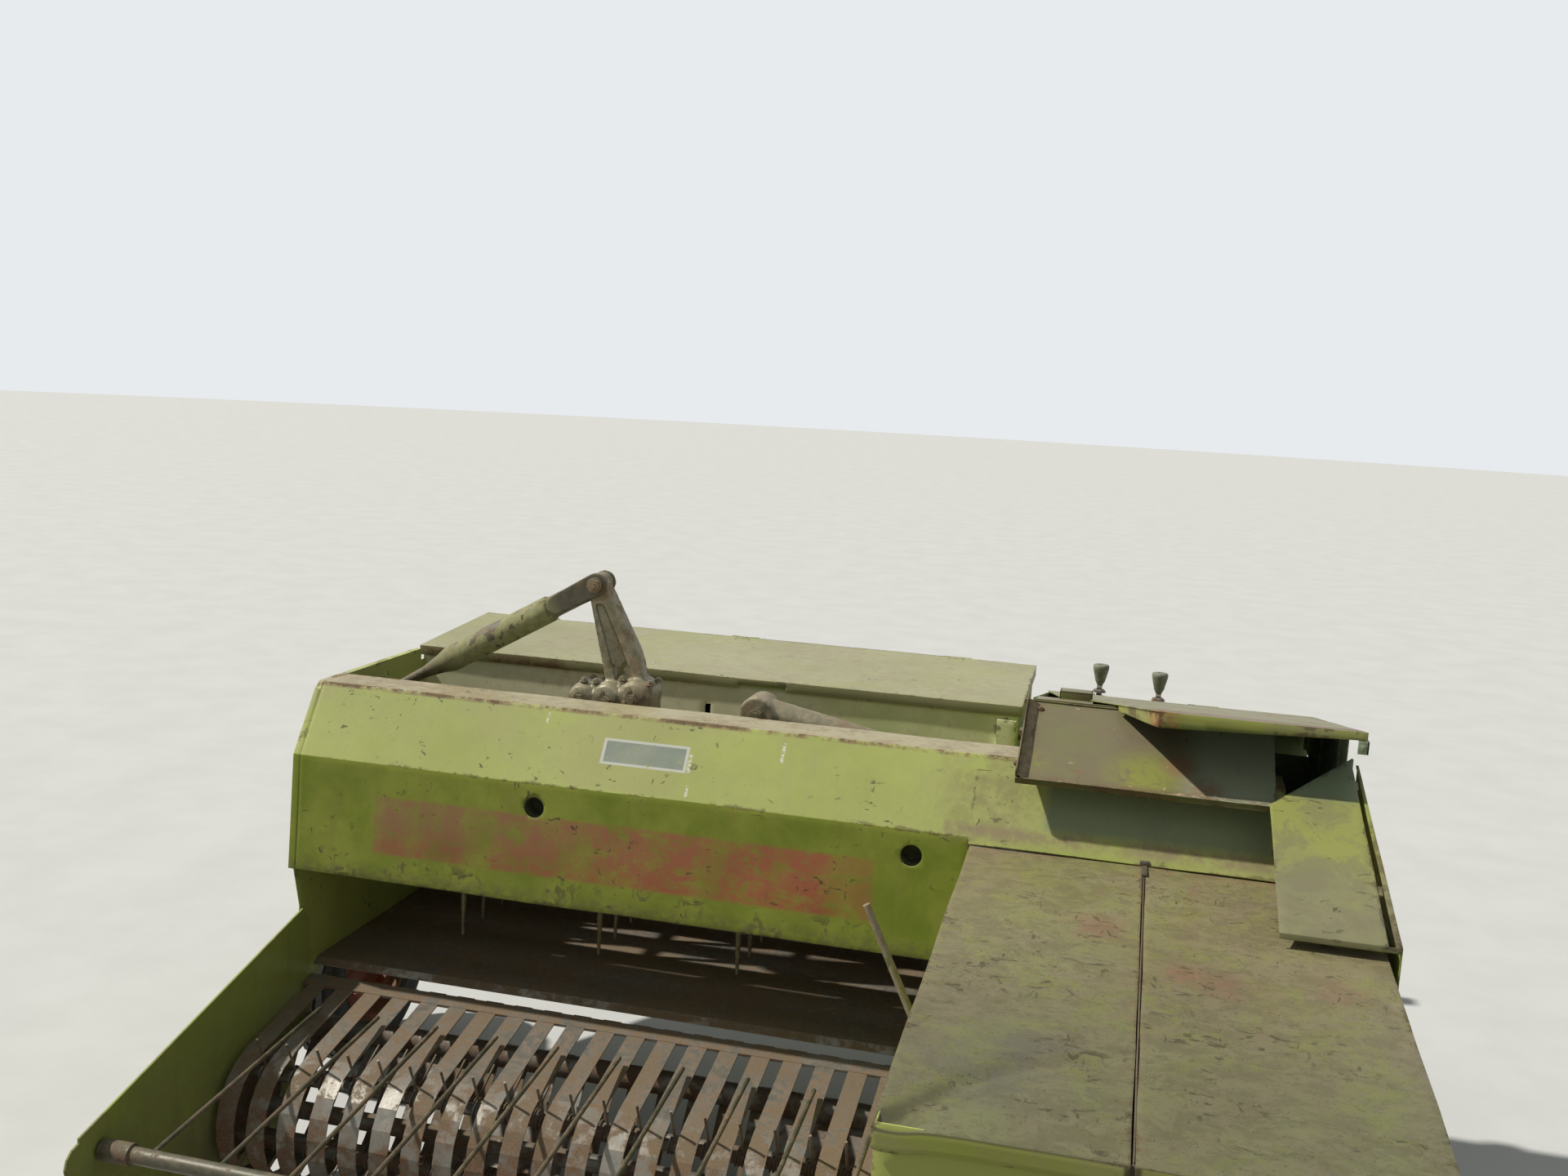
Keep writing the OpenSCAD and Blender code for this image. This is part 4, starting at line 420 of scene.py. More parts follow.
def bodyMarks(f):
    # the drive shield: green-yellow to the rear, greyer to the front, with dark flecks
    box = bodyPlaces
    shield = f.inside(*box["shield"], 0.004)
    grey = f.ramp("y", -90, -250, shake=(f.cloud - 0.5) * 0.35)
    f.lay(shield * 0.85, f.mix(grey, (0.285, 0.300, 0.080), (0.232, 0.215, 0.128)))
    grime = f.ease(f.noise(13, 6, 0.74, 0.6, shift=(3, 3, 9)), 0.46, 0.60)
    f.lay(shield * grime * 0.55, (0.20, 0.185, 0.11))
    f.lay(shield * f.flecks((0.7, 1.5, 1.2), 0.61, 0.65, (4, 2, 1)) * 0.9, (0.085, 0.09, 0.045))
    # rear wall of the trough painted very pale as painted light, the housing's front, the seam, and painted shade on
    # the inside under the knotter lid
    # painted light: the pale wall colours stand in for the sun that does not reach the trough's rear wall; the blotches
    # are soil
    wall = f.mix(f.ramp("x", 1000, 1250), (0.90, 0.86, 0.60), (0.84, 0.87, 0.46))
    wall = f.mix(f.blotch(0.50, 0.68), wall, (0.72, 0.65, 0.42))
    f.lay(f.inside(*box["trough"], 0.01) * (0.75 + 0.25 * f.ease(f.cloud, 0.35, 0.65)), wall)
    f.lay(f.inside(*box["frontWall"], 0.012) * 0.85, (0.54, 0.575, 0.17))
    f.lay(f.inside(*box["seamStrip"], 0.002), (0.15, 0.115, 0.075))
    # painted shade: the inside under the knotter lid takes a teal-green shade tone
    f.lay(f.inside(*box["underLid"], 0.01) * 0.85, (0.28, 0.35, 0.22))


paints = {
    "hood": {"name": "hoodGreen", "base": (0.415, 0.455, 0.126), "pale": (0.468, 0.482, 0.205), "fading": 0.7,
             "dusty": 0.25, "rusty": 0.24, "marks": hoodMarks},
    "body": {"name": "bodyGreen", "base": (0.30, 0.345, 0.075), "pale": (0.38, 0.40, 0.16), "dusty": 0.55,
             "rusty": 0.32, "dirty": 0.8, "marks": bodyMarks},
    "cover": {"name": "coverGreen", "base": (0.27, 0.28, 0.10), "pale": (0.31, 0.30, 0.16), "fading": 0.8,
              "dusty": 0.55, "marks": coverMarks},
    "lid": {"name": "lidGreen", "base": (0.325, 0.315, 0.150), "pale": (0.395, 0.375, 0.235), "fading": 0.95,
            "dusty": 0.25, "rusty": 0.18, "marks": boxMarks},
    "tray": {"name": "trayGreen", "base": (0.19, 0.195, 0.075), "pale": (0.215, 0.195, 0.115),
             "dust": (0.165, 0.135, 0.085), "dusty": 0.5, "marks": trayMarks},
    "cap": {"name": "capGreen", "base": (0.20, 0.205, 0.08), "pale": (0.235, 0.215, 0.12), "dust": (0.19, 0.15, 0.09),
            "fading": 0.7, "dusty": 0.35, "marks": lidMarks},
    "wheel": {"name": "wheelRed", "base": (0.36, 0.055, 0.028), "pale": (0.42, 0.15, 0.09), "fading": 0.4,
              "dusty": 0.5, "rusty": 0.35, "dirty": 0.9}}

metals = {
    "cast": {"name": "castIron", "base": (0.16, 0.14, 0.11), "rust": (0.12, 0.062, 0.032), "rusty": 0.55, "dirty": 0.55,
             "metallic": 0.45, "paintLeft": (0.36, 0.39, 0.16)},
    "link": {"name": "linkPaint", "base": (0.105, 0.092, 0.058), "rust": (0.125, 0.082, 0.048), "rusty": 0.4,
             "dirty": 0.5, "metallic": 0.2, "paintLeft": (0.40, 0.40, 0.185), "leftAbove": 0.43,
             "bare": ((613, 375, 1444, 105, 175), (40, 375, 1112, 90, 260))},
    "arm": {"name": "armIron", "base": (0.295, 0.262, 0.165), "rust": (0.235, 0.165, 0.10), "dirty": 0.6,
            "metallic": 0.25, "paintLeft": (0.24, 0.23, 0.11), "leftAbove": 0.60},
    "guard": {"name": "guardIron", "base": (0.098, 0.090, 0.056), "rust": (0.105, 0.070, 0.042), "dirty": 0.3,
              "metallic": 0.25},
    # painted shade: the beam's iron is darker than the arm's, for the shadow that lies on the beam and its hub
    "beam": {"name": "beamIronShaded", "base": (0.195, 0.170, 0.108), "rust": (0.155, 0.108, 0.064), "dirty": 0.6,
             "metallic": 0.25},
    "steel": {"name": "wornSteel", "base": (0.24, 0.225, 0.19), "rust": (0.11, 0.062, 0.034), "rusty": 0.68,
              "dirty": 0.5, "metallic": 0.45},
    "bolt": {"name": "boltSteel", "base": (0.24, 0.22, 0.19), "rust": (0.12, 0.055, 0.028), "rusty": 0.65,
             "metallic": 0.6},
    "tyre": {"name": "tyreRubber", "base": (0.026, 0.026, 0.025), "rust": (0.055, 0.048, 0.036), "rusty": 0.35,
             "dirty": 0.5, "shine": 0.75},
    "grip": {"name": "gripBlack", "base": (0.20, 0.21, 0.145), "rust": (0.25, 0.24, 0.165), "rusty": 0.25,
             "shine": 0.6},
    # painted shade: the dark finish is a teal-green shade tone, for the plate and the catch under the knotter lid
    "dark": {"name": "shadeTealGreen", "base": (0.30, 0.36, 0.235), "rust": (0.24, 0.23, 0.15), "rusty": 0.3,
             "dirty": 0.0, "shine": 0.9},
    "soil": {"name": "driedSoil", "base": (0.34, 0.275, 0.175), "rust": (0.24, 0.18, 0.105), "rusty": 0.45,
             "dirty": 0.0, "shine": 0.95},
    "chaff": {"name": "dustyDeck", "base": (0.52, 0.47, 0.30), "rust": (0.40, 0.34, 0.20), "rusty": 0.4,
              "dirty": 0.0, "shine": 0.95},
    # painted shade: black for the cups behind the hood's holes; also the marker slot of bevel faces
    "black": {"name": "holeShadeBlack", "base": (0.085, 0.092, 0.046), "rust": (0.070, 0.062, 0.035), "rusty": 0.3,
              "dirty": 0.0, "shine": 0.9}}

makeCamera()
makeLight()
finishes = {k: paint(**s) for k, s in paints.items()} | {k: metal(**s) for k, s in metals.items()}
print("finishes made:", len(finishes))


# Shaping of the sheets and castings

def join(o, finish, body, covers=(), sharp=32):   # the last step of every piece
    mesh = o.data
    mesh.materials.clear()
    mesh.materials.append(finishes[finish])
    mesh.polygons.foreach_set("material_index", [0] * len(mesh.polygons))
    if sharp:
        mesh.polygons.foreach_set("use_smooth", [True] * len(mesh.polygons))
        mesh.set_sharp_from_angle(angle=math.radians(sharp))
    mesh.update()
    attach(o, body)
    if covers:
        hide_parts(*covers)


def newObject(name, mesh):
    o = bpy.data.objects.new(name, mesh)
    bpy.context.scene.collection.objects.link(o)
    return o


def fromBmesh(name, bm, outward=False):
    if outward:
        bmesh.ops.recalc_face_normals(bm, faces=bm.faces)
    mesh = bpy.data.meshes.new(name)
    bm.to_mesh(mesh)
    bm.free()
    return newObject(name, mesh)


def bake(o):                          # modifiers become the object's own mesh
    deps = bpy.context.evaluated_depsgraph_get()
    mesh = bpy.data.meshes.new_from_object(o.evaluated_get(deps), preserve_all_data_layers=True, depsgraph=deps)
    old = o.data
    o.modifiers.clear()
    o.data = mesh
    bpy.data.meshes.remove(old)


def bevel(o, width, angle=26):
    o.data.materials.clear()
    for k in ("bolt", "black"):       # the second slot marks the faces that the bevel makes
        o.data.materials.append(finishes[k])
    m = o.modifiers.new("edge", "BEVEL")
    m.width, m.segments, m.limit_method, m.angle_limit = width, 2, "ANGLE", math.radians(angle)
    m.use_clamp_overlap, m.material, m.miter_outer = False, 1, "MITER_SHARP"


def finished(bm, name, finish, body, edge=None, covers=(), sharp=32):   # a closed shape becomes a piece
    o = fromBmesh(name, bm, True)
    if edge:
        bevel(o, edge)
        bake(o)
    join(o, finish, body, covers, sharp)


def merged(node):                     # a copy of a CAD node without its doubles and flat splits
    bm = bmesh.new()
    bm.from_mesh(frame["nodes"][node].data)
    bmesh.ops.remove_doubles(bm, verts=bm.verts, dist=2e-5)
    bmesh.ops.dissolve_limit(bm, angle_limit=math.radians(0.6), verts=bm.verts, edges=bm.edges)
    return bm


def edgePoints(bm, angle=26, step=0.004):   # points along the sharp edges
    points = []
    for e in bm.edges:
        if len(e.link_faces) == 2 and e.calc_face_angle(0) > math.radians(angle):
            a, b = e.verts[0].co, e.verts[1].co
            n = max(1, int((b - a).length / step))
            points += [a.lerp(b, k / n) for k in range(n + 1)]
    tree = kdtree.KDTree(len(points))
    for i, p in enumerate(points):
        tree.insert(p, i)
    tree.balance()
    return tree


def cutGrid(bm, step):                # splits long faces along planes of an even grid
    los = [min(v.co[i] for v in bm.verts) for i in range(3)]
    his = [max(v.co[i] for v in bm.verts) for i in range(3)]
    for i in range(3):
        normal = Vector([1 if k == i else 0 for k in range(3)])
        for k in range(int((his[i] - los[i]) / step)):
            where = Vector([0, 0, 0])
            where[i] = los[i] + step * (k + 0.63)
            bmesh.ops.bisect_plane(bm, geom=bm.verts[:] + bm.edges[:] + bm.faces[:], dist=1e-6,
                                   plane_co=where, plane_no=normal)


def pressed(node, finish, step=0.018, width=0.0011, ripple=0.0010, scale=3.0, shape=None):
    # a sheet metal node again, with rolled edges, slight waves and wear along its edges
    bm = merged(node)
    edges = edgePoints(bm)
    o = fromBmesh(node + "Sheet", bm)
    bevel(o, width)
    bake(o)
    bm = bmesh.new()
    bm.from_mesh(o.data)
    cutGrid(bm, step)
    layer = bm.verts.layers.float.new("wear")
    for v in bm.verts:
        v[layer] = max(0.0, 1 - max(0, edges.find(v.co)[2] - width) / step)
    for v in bm.verts:
        p = v.co.copy()
        n = noise.noise_vector(p * scale + Vector((3, 7, 1))) + noise.noise_vector(p * scale * 3.1) * 0.35
        v.co += n * ripple
        if shape:
            v.co += shape(p)
    bm.to_mesh(o.data)
    bm.free()
    join(o, finish, bodyOf[node], (node,))


def machined(node, finish, width=0.0012):   # a node again with bevelled edges, bare along them
    o = fromBmesh(node + "Made", merged(node))
    bevel(o, width)
    w = o.modifiers.new("even", "WEIGHTED_NORMAL")
    w.weight, w.keep_sharp = 100, True
    o.data.polygons.foreach_set("use_smooth", [True] * len(o.data.polygons))
    o.data.set_sharp_from_angle(angle=math.radians(50))
    bake(o)
    marks = [0] * len(o.data.polygons)
    o.data.polygons.foreach_get("material_index", marks)
    layer = o.data.attributes.new("wear", "FLOAT", "FACE")
    layer.data.foreach_set("value", [float(m == 1) for m in marks])
    join(o, finish, bodyOf[node], (node,), sharp=None)


def cast(node, finish, voxel, soft, rough):   # a node again as a rough casting with soft edges
    o = fromBmesh(node + "Cast", merged(node))
    m = o.modifiers.new("grain", "REMESH")
    m.mode, m.voxel_size = "VOXEL", voxel
    s = o.modifiers.new("soften", "SMOOTH")
    s.factor, s.iterations = 0.5, soft
    bake(o)
    bm = bmesh.new()
    bm.from_mesh(o.data)
    bm.normal_update()
    layer = bm.verts.layers.float.new("wear")
    for v in bm.verts:
        mean = Vector()
        for e in v.link_edges:
            mean += e.other_vert(v).co
        bulge = (v.co - mean / max(1, len(v.link_edges))).dot(v.normal)
        v[layer] = min(1.0, max(0.0, bulge * 6000 - 0.2))
    for v in bm.verts:
        v.co += v.normal * (noise.noise(v.co * 60) * 0.6 + noise.noise(v.co * 170) * 0.4) * rough
    bm.to_mesh(o.data)
    bm.free()
    join(o, finish, bodyOf[node], (node,), sharp=60)


def lathe(bm, base, axis, profile, sides=24, closed=False):   # turns a (radius, length) profile round an axis
    d = Vector(axis).normalized()
    u = d.orthogonal().normalized()
    w = d.cross(u)
    rings = []
    for r, h in profile:
        if r < 1e-6:
            rings.append([bm.verts.new(Vector(base) + d * h)])
        else:
            rings.append([bm.verts.new(Vector(base) + d * h + (u * math.cos(a) + w * math.sin(a)) * r)
                          for a in (2 * math.pi * k / sides for k in range(sides))])
    pairs = list(zip(rings, rings[1:])) + ([(rings[-1], rings[0])] if closed else [])
    for a, b in pairs:
        for k in range(sides):
            q = [a[k % len(a)], a[(k + 1) % len(a)], b[(k + 1) % len(b)], b[k % len(b)]]
            q = list(dict.fromkeys(q))
            if len(q) > 2:
                bm.faces.new(q)


def strap(bm, line, width, across, thick):   # a flat strip of even thickness along a line of points
    rows = []
    for i, p in enumerate(line):
        d = (line[min(i + 1, len(line) - 1)] - line[max(i - 1, 0)]).normalized()
        side = Vector(across).normalized()
        rise = side.cross(d).normalized()
        rows.append([bm.verts.new(p + side * s * width / 2 + rise * t * thick / 2)
                     for s, t in ((-1, -1), (1, -1), (1, 1), (-1, 1))])
    bm.faces.new(rows[0][::-1])
    for a, b in zip(rows, rows[1:]):
        for k in range(4):
            bm.faces.new((a[k], a[(k + 1) % 4], b[(k + 1) % 4], b[k]))
    bm.faces.new(rows[-1])


def prism(bm, outline, x0, x1):       # a plate between two stations of x, from its (y, z) outline
    sides = [[bm.verts.new(at(x, y, z)) for y, z in outline] for x in (x0, x1)]
    bm.faces.new(sides[0])
    bm.faces.new(sides[1][::-1])
    for k in range(len(outline)):
        j = (k + 1) % len(outline)
        bm.faces.new((sides[0][j], sides[0][k], sides[1][k], sides[1][j]))


def block(bm, lo, hi):                # a box between two stations
    a, b = at(*lo), at(*hi)
    v = [bm.verts.new((x, y, z)) for x in (a.x, b.x) for y in (a.y, b.y) for z in (a.z, b.z)]
    for f in ((0, 1, 3, 2), (4, 6, 7, 5), (0, 4, 5, 1), (2, 3, 7, 6), (0, 2, 6, 4), (1, 5, 7, 3)):
        bm.faces.new([v[i] for i in f])


# Geometry Nodes: repeated fasteners, coils and chain links on points

class Builder:                        # a node tree on points, with named inputs
    def __init__(self, name, sizes):
        self.tree = bpy.data.node_groups.new(name, "GeometryNodeTree")
        new = self.tree.interface.new_socket
        new("Points", in_out="INPUT", socket_type="NodeSocketGeometry")
        self.sockets = {}
        for k, v in {**sizes, "Seed": 1, "Material": finishes["bolt"]}.items():
            kind = {float: "Float", int: "Int"}.get(type(v), "Material")
            self.sockets[k] = new(k, in_out="INPUT", socket_type="NodeSocket" + kind).identifier
        new("Mesh", in_out="OUTPUT", socket_type="NodeSocketGeometry")
        self.inputs = self.tree.nodes.new("NodeGroupInput").outputs

    def add(self, kind, settings=None, out=0, **sockets):
        n = self.tree.nodes.new(kind)
        for k, v in (settings or {}).items():
            setattr(n, k, v)
        for k, v in sockets.items():
            for one in (v if isinstance(v, list) else [v]):
                feed(self.tree, n.inputs[k.replace("_", " ")], one)
        return n.outputs[out]

    def numbers(self, kind, values, **settings):   # a node whose sockets are filled in order
        n = self.tree.nodes.new(kind)
        for k, v in settings.items():
            setattr(n, k, v)
        for s, v in zip(n.inputs, values):
            feed(self.tree, s, v)
        return n.outputs[0]

    def times(self, a, b):
        return self.numbers("ShaderNodeMath", (a, b), operation="MULTIPLY")

    def vector(self, x=0.0, y=0.0, z=0.0):
        return self.numbers("ShaderNodeCombineXYZ", (x, y, z))

    def spread(self, shape, spin=True, along=False):   # the shape on every point, its z axis along the point's aim
        aim = self.add("GeometryNodeInputNamedAttribute", {"data_type": "FLOAT_VECTOR"}, Name="aim")
        turn = self.add("FunctionNodeAlignRotationToVector", {"axis": "Z"}, Vector=aim)
        if along:
            way = self.add("GeometryNodeInputNamedAttribute", {"data_type": "FLOAT_VECTOR"}, Name="along")
            turn = self.add("FunctionNodeAlignRotationToVector", {"axis": "X", "pivot_axis": "Z"},
                            Rotation=turn, Vector=way)
        if spin:
            chance = self.tree.nodes.new("FunctionNodeRandomValue")
            chance.data_type = "FLOAT"
            chance.inputs[3].default_value = 6.283
            self.tree.links.new(self.inputs["Seed"], chance.inputs["Seed"])
            about = self.add("FunctionNodeEulerToRotation", Euler=self.vector(z=chance.outputs[1]))
            turn = self.add("FunctionNodeRotateRotation", {"rotation_space": "LOCAL"}, Rotation=turn, Rotate_By=about)
        inst = self.add("GeometryNodeInstanceOnPoints", Points=self.inputs["Points"], Instance=shape, Rotation=turn)
        real = self.add("GeometryNodeRealizeInstances", Geometry=inst)
        done = self.add("GeometryNodeSetMaterial", Geometry=real, Material=self.inputs["Material"])
        self.tree.links.new(done, self.tree.nodes.new("NodeGroupOutput").inputs[0])


def onPoints(name, builder, rows, sizes, finish, body, sharp=32, along=None):
    mesh = bpy.data.meshes.new(name)
    mesh.from_pydata([p for p, aim in rows], [], [])
    ways = {"aim": [c for p, aim in rows for c in aim]}
    if along:
        ways["along"] = along
    for k, v in ways.items():
        mesh.attributes.new(k, "FLOAT_VECTOR", "POINT").data.foreach_set("vector", v)
    o = newObject(name, mesh)
    m = o.modifiers.new("spread", "NODES")
    m.node_group = builder.tree
    for k, v in {**sizes, "Material": finishes[finish]}.items():
        m[builder.sockets[k]] = v
    bake(o)
    join(o, finish, body, sharp=sharp)


def boltBuilder():                    # washer, hexagon head and the thread's end
    b = Builder("boltOnPoint", {"Radius": 0.009})
    r = b.inputs["Radius"]
    parts = []
    for sides, wide, deep, low in ((14, 1.25, 0.16, 0.08), (6, 1.0, 0.62, 0.44), (8, 0.55, 0.5, 0.85)):
        c = b.add("GeometryNodeMeshCylinder", Vertices=sides, Radius=b.times(r, wide), Depth=b.times(r, deep))
        parts.append(b.add("GeometryNodeTransform", Geometry=c, Translation=b.vector(z=b.times(r, low))))
    b.spread(b.add("GeometryNodeJoinGeometry", Geometry=parts))
    return b


def rivetBuilder():                   # low round head
    b = Builder("rivetOnPoint", {"Radius": 0.006})
    s = b.add("GeometryNodeMeshUVSphere", Segments=10, Rings=5, Radius=b.inputs["Radius"])
    b.spread(b.add("GeometryNodeTransform", Geometry=s, Scale=(1, 1, 0.55)))
    return b


def coilBuilder():                    # spring coil
    b = Builder("coilOnPoint", {"Radius": 0.014, "Wire": 0.003, "Turns": 3.0, "Length": 0.024})
    i = b.inputs
    spiral = b.add("GeometryNodeCurveSpiral", Resolution=9, Rotations=i["Turns"], Start_Radius=i["Radius"],
                   End_Radius=i["Radius"], Height=i["Length"])
    ring = b.add("GeometryNodeCurvePrimitiveCircle", Resolution=5, Radius=i["Wire"])
    b.spread(b.add("GeometryNodeCurveToMesh", Curve=spiral, Profile_Curve=ring), spin=False)
    return b


def linkBuilder():                    # one roller chain link: two rollers between side plates
    b = Builder("linkOnPoint", {"Pitch": 0.019, "Width": 0.008})
    pitch, width = b.inputs["Pitch"], b.inputs["Width"]
    parts = []
    for s in (-0.5, 0.5):
        size = b.vector(b.times(pitch, 1.35), b.times(pitch, 0.62), b.times(width, 0.2))
        plate = b.add("GeometryNodeMeshCube", Size=size)
        parts.append(b.add("GeometryNodeTransform", Geometry=plate, Translation=b.vector(z=b.times(width, s))))
        pin = b.add("GeometryNodeMeshCylinder", Vertices=8, Radius=b.times(pitch, 0.26), Depth=b.times(width, 1.3))
        parts.append(b.add("GeometryNodeTransform", Geometry=pin, Translation=b.vector(x=b.times(pitch, s))))
    b.spread(b.add("GeometryNodeJoinGeometry", Geometry=parts), spin=False, along=True)
    return b


boltOn, rivetOn, coilOn, chainOn = boltBuilder(), rivetBuilder(), coilBuilder(), linkBuilder()


def bolts(name, rows, radius, seed, body="baler", slot="green_paint", builder=boltOn, finish="bolt"):
    onPoints(name, builder, rows, {"Radius": radius, "Seed": seed}, finish, body)


print("tools ready")


# Sheet metal of the hood, the twine box, the covers and the knotter hood

coverDent = {"crease": [(1633, -1126), (1684, -1068), (1744, -972), (1813, -912), (1898, -871), (1960, -862)],
             "pit": (1660, -1118), "pitDepth": 0.008}


def dent(p):                          # a crease across the outer cover, with a pit at its front end
    crease, pit = coverDent["crease"], coverDent["pit"]
    x, y = p.x * 1000 + midX * 1000, p.y * 1000 + midY * 1000
    best, along = 1e9, 0.0
    for k, (a, b) in enumerate(zip(crease, crease[1:])):
        dx, dy = b[0] - a[0], b[1] - a[1]
        t = min(1, max(0, ((x - a[0]) * dx + (y - a[1]) * dy) / (dx * dx + dy * dy)))
        gap = math.hypot(x - a[0] - t * dx, y - a[1] - t * dy)
        side = (dx * (y - a[1]) - dy * (x - a[0])) > 0
        if gap < abs(best):
            best, along = gap if side else -gap, (k + t) / 5
    reach = 60 if best < 0 else 24    # the sheet dips further on the front side of the crease
    depth = math.exp(-(best / 11) ** 2) * 0.0055 + math.exp(-(best / reach) ** 2) * 0.007
    hole = math.exp(-((x - pit[0]) ** 2 + (y - pit[1]) ** 2) / 420) * coverDent["pitDepth"]
    return Vector((0, 0, -depth * (1 - 0.55 * along) - hole))


def sag(p):                           # the inner cover hangs a little between its seam and its far edge
    x, y = p.x + midX, p.y + midY
    return Vector((0, 0, -0.0035 * math.exp(-((x - 2.21) ** 2 / 0.02 + (y + 0.62) ** 2 / 0.12))))


hoodKnocks = ((0.42, 0.80, 0.05, 0.0028), (1.11, 0.86, 0.06, 0.0032), (1.33, 0.79, 0.04, 0.0025),
              (0.16, 0.93, 0.045, 0.002))


def hoodShape(p):                     # slow waves of the long hood plates, and shallow knocks on the lower face
    x, z = p.x + midX, p.z
    knock = sum(d * math.exp(-((x - a) ** 2 + (z - b) ** 2) / r ** 2) for a, b, r, d in hoodKnocks)
    wave = math.sin(x * 7.1 + 0.6) * 0.0007 + math.sin(x * 17.0 + z * 9) * 0.0004
    return Vector((0, knock + wave, wave * 0.6))


def lidShape(p):                      # two small bumps near the rear left edge of the twine lid, and a slight belly
    x, y = p.x * 1000 + midX * 1000, p.y * 1000 + midY * 1000
    bumps = sum(3.2 * math.exp(-((x - a) ** 2 + (y - b) ** 2) / 420) for a, b in ((128, 962), (196, 996)))
    belly = -2.6 * math.sin(math.pi * min(1, max(0, x / 1657))) * math.exp(-((y - 840) / 190) ** 2)
    return Vector((0, 0, (bumps + belly) / 1000))


sheets = {"hood_front": {"finish": "hood", "shape": hoodShape},
          "hood_end": {"finish": "hood", "step": 0.024, "ripple": 0.0006},
          "twine_lid": {"finish": "lid", "shape": lidShape, "ripple": 0.0012, "scale": 4.0},
          "twine_box": {"finish": "body", "step": 0.026, "ripple": 0.0006},
          "cover_outer": {"finish": "cover", "step": 0.014, "ripple": 0.0016, "scale": 4.5, "shape": dent},
          "cover_inner": {"finish": "cover", "ripple": 0.0016, "scale": 4.5, "shape": sag},
          "housing_walls": {"finish": "body", "step": 0.030, "ripple": 0.0005},
          "knotter_tray": {"finish": "tray", "step": 0.014, "ripple": 0.0013, "scale": 6},
          "knotter_lid": {"finish": "cap", "ripple": 0.0013, "scale": 5},
          "knotter_hood": {"finish": "body", "step": 0.028, "ripple": 0.0005},
          "drive_shield": {"finish": "body", "step": 0.020, "ripple": 0.0009, "scale": 5},
          "feed_deck": {"finish": "chaff", "step": 0.030, "ripple": 0.0006}}
for node, s in sheets.items():
    pressed(node, **s)
print("sheets made:", len(sheets))

for key, nodes in (("body", "chamber_side_outer chamber_side_inner chamber_roof main_frame axle gearbox tension_bridge "
                            "tension_rails drawbar chute pickup_plates"),
                   ("steel", "chamber_floor plunger feed_floor jack_leg"), ("guard", "crop_guard"),
                   ("steel", "star_wheel"), ("arm", "pickup_lever"),
                   ("cast", "crank_and_rod needle_yoke knotters side_drive feeder_drive flywheel"),
                   ("wheel", "rim_inner rim_outer")):
    for node in nodes.split():
        machined(node, key)
print("plates and blocks made")

castings = {"feeder_arm": {"finish": "arm", "voxel": 0.0034, "soft": 5, "rough": 0.0008},
            "guide_link": {"finish": "link", "voxel": 0.0028, "soft": 3, "rough": 0.0003},
            "feeder_rod": {"finish": "arm", "voxel": 0.0034, "soft": 4, "rough": 0.0006},
            "feeder_beam": {"finish": "beam", "voxel": 0.0042, "soft": 3, "rough": 0.0005}}
for node, s in castings.items():
    cast(node, **s)
print("castings made:", len(castings))


# Fittings of the hood and the knotter hood

cups = {"places": (612, 1495),
        "outline": [(0.0, 0.040), (0.030, 0.040), (0.030, 0.0), (0.0245, 0.0), (0.0245, 0.036), (0.0, 0.036)]}


def backCups():                       # painted shade: black cups behind the two holes of the hood, so that they are dark
    bm = bmesh.new()
    for x in cups["places"]:
        lathe(bm, at(x, 5, 964), toRear, cups["outline"], 28)
    finished(bm, "hoodCups", "black", "baler", sharp=30)


def lidTop(y):                        # height of the knotter lid's top
    return 1337 - y * 165 / 950


def shieldTop(y):                     # height of the drive shield's top
    return 1012.5 + 0.0685 * (y + 330)


def coverTop(y):                      # height of the covers' top
    return 1006 + (y - 20) * 78 / 1160


cornerTop, seamTop, tongueTop = lidTop(410), coverTop(0), coverTop(-20)
boxed = {
    # on the cut edge of the lid
    "lidCorner": {"finish": "tray", "body": "knotter_cover", "slot": "faded_paint", "edge": 0.0009,
                  "boxes": (((1766, 408, cornerTop - 44), (1842, 412, cornerTop + 14)),
                            ((1766, 408, cornerTop + 11), (1842, 452, cornerTop + 14)),
                            ((1766, 408, cornerTop - 44), (1769, 452, cornerTop + 14)),
                            ((1839, 408, cornerTop - 2), (1842, 452, cornerTop + 14)))},
    # hangs at the end of the lid's flange
    "lidCatch": {"finish": "dark", "body": "knotter_cover", "slot": "faded_paint", "edge": 0.0008,
                 "boxes": (((2382, -5, 1292), (2403, -1, 1319)), ((2399, -5, 1292), (2403, 24, 1319)),
                           ((2388, -8, 1300), (2397, -5, 1311)))}}
covered = {
    # the T-shaped catch on the seam of the covers
    "seamBracket": {"finish": "cast", "body": "baler", "slot": "faded_paint", "edge": 0.0008,
                    "boxes": (((1966, -6, seamTop), (2010, 12, seamTop + 5)),
                              ((1982, -64, tongueTop - 2), (1994, 0, tongueTop + 4)),
                              ((1978, -8, seamTop + 4), (1998, 10, seamTop + 12)))},
    "shieldCatches": {"finish": "bolt", "body": "baler", "slot": "green_paint", "edge": 0.001,
                      "boxes": [b for y in (-200, 260, 640) for b in
                                (((2448.5, y, 850), (2453, y + 34, 934)),
                                 ((2448.5, y + 8, 934), (2456, y + 26, 952)))]}}


def boxPieces(table):
    for name, s in table.items():
        bm = bmesh.new()
        for lo, hi in s["boxes"]:
            block(bm, lo, hi)
        finished(bm, name, s["finish"], s["body"], s["edge"])


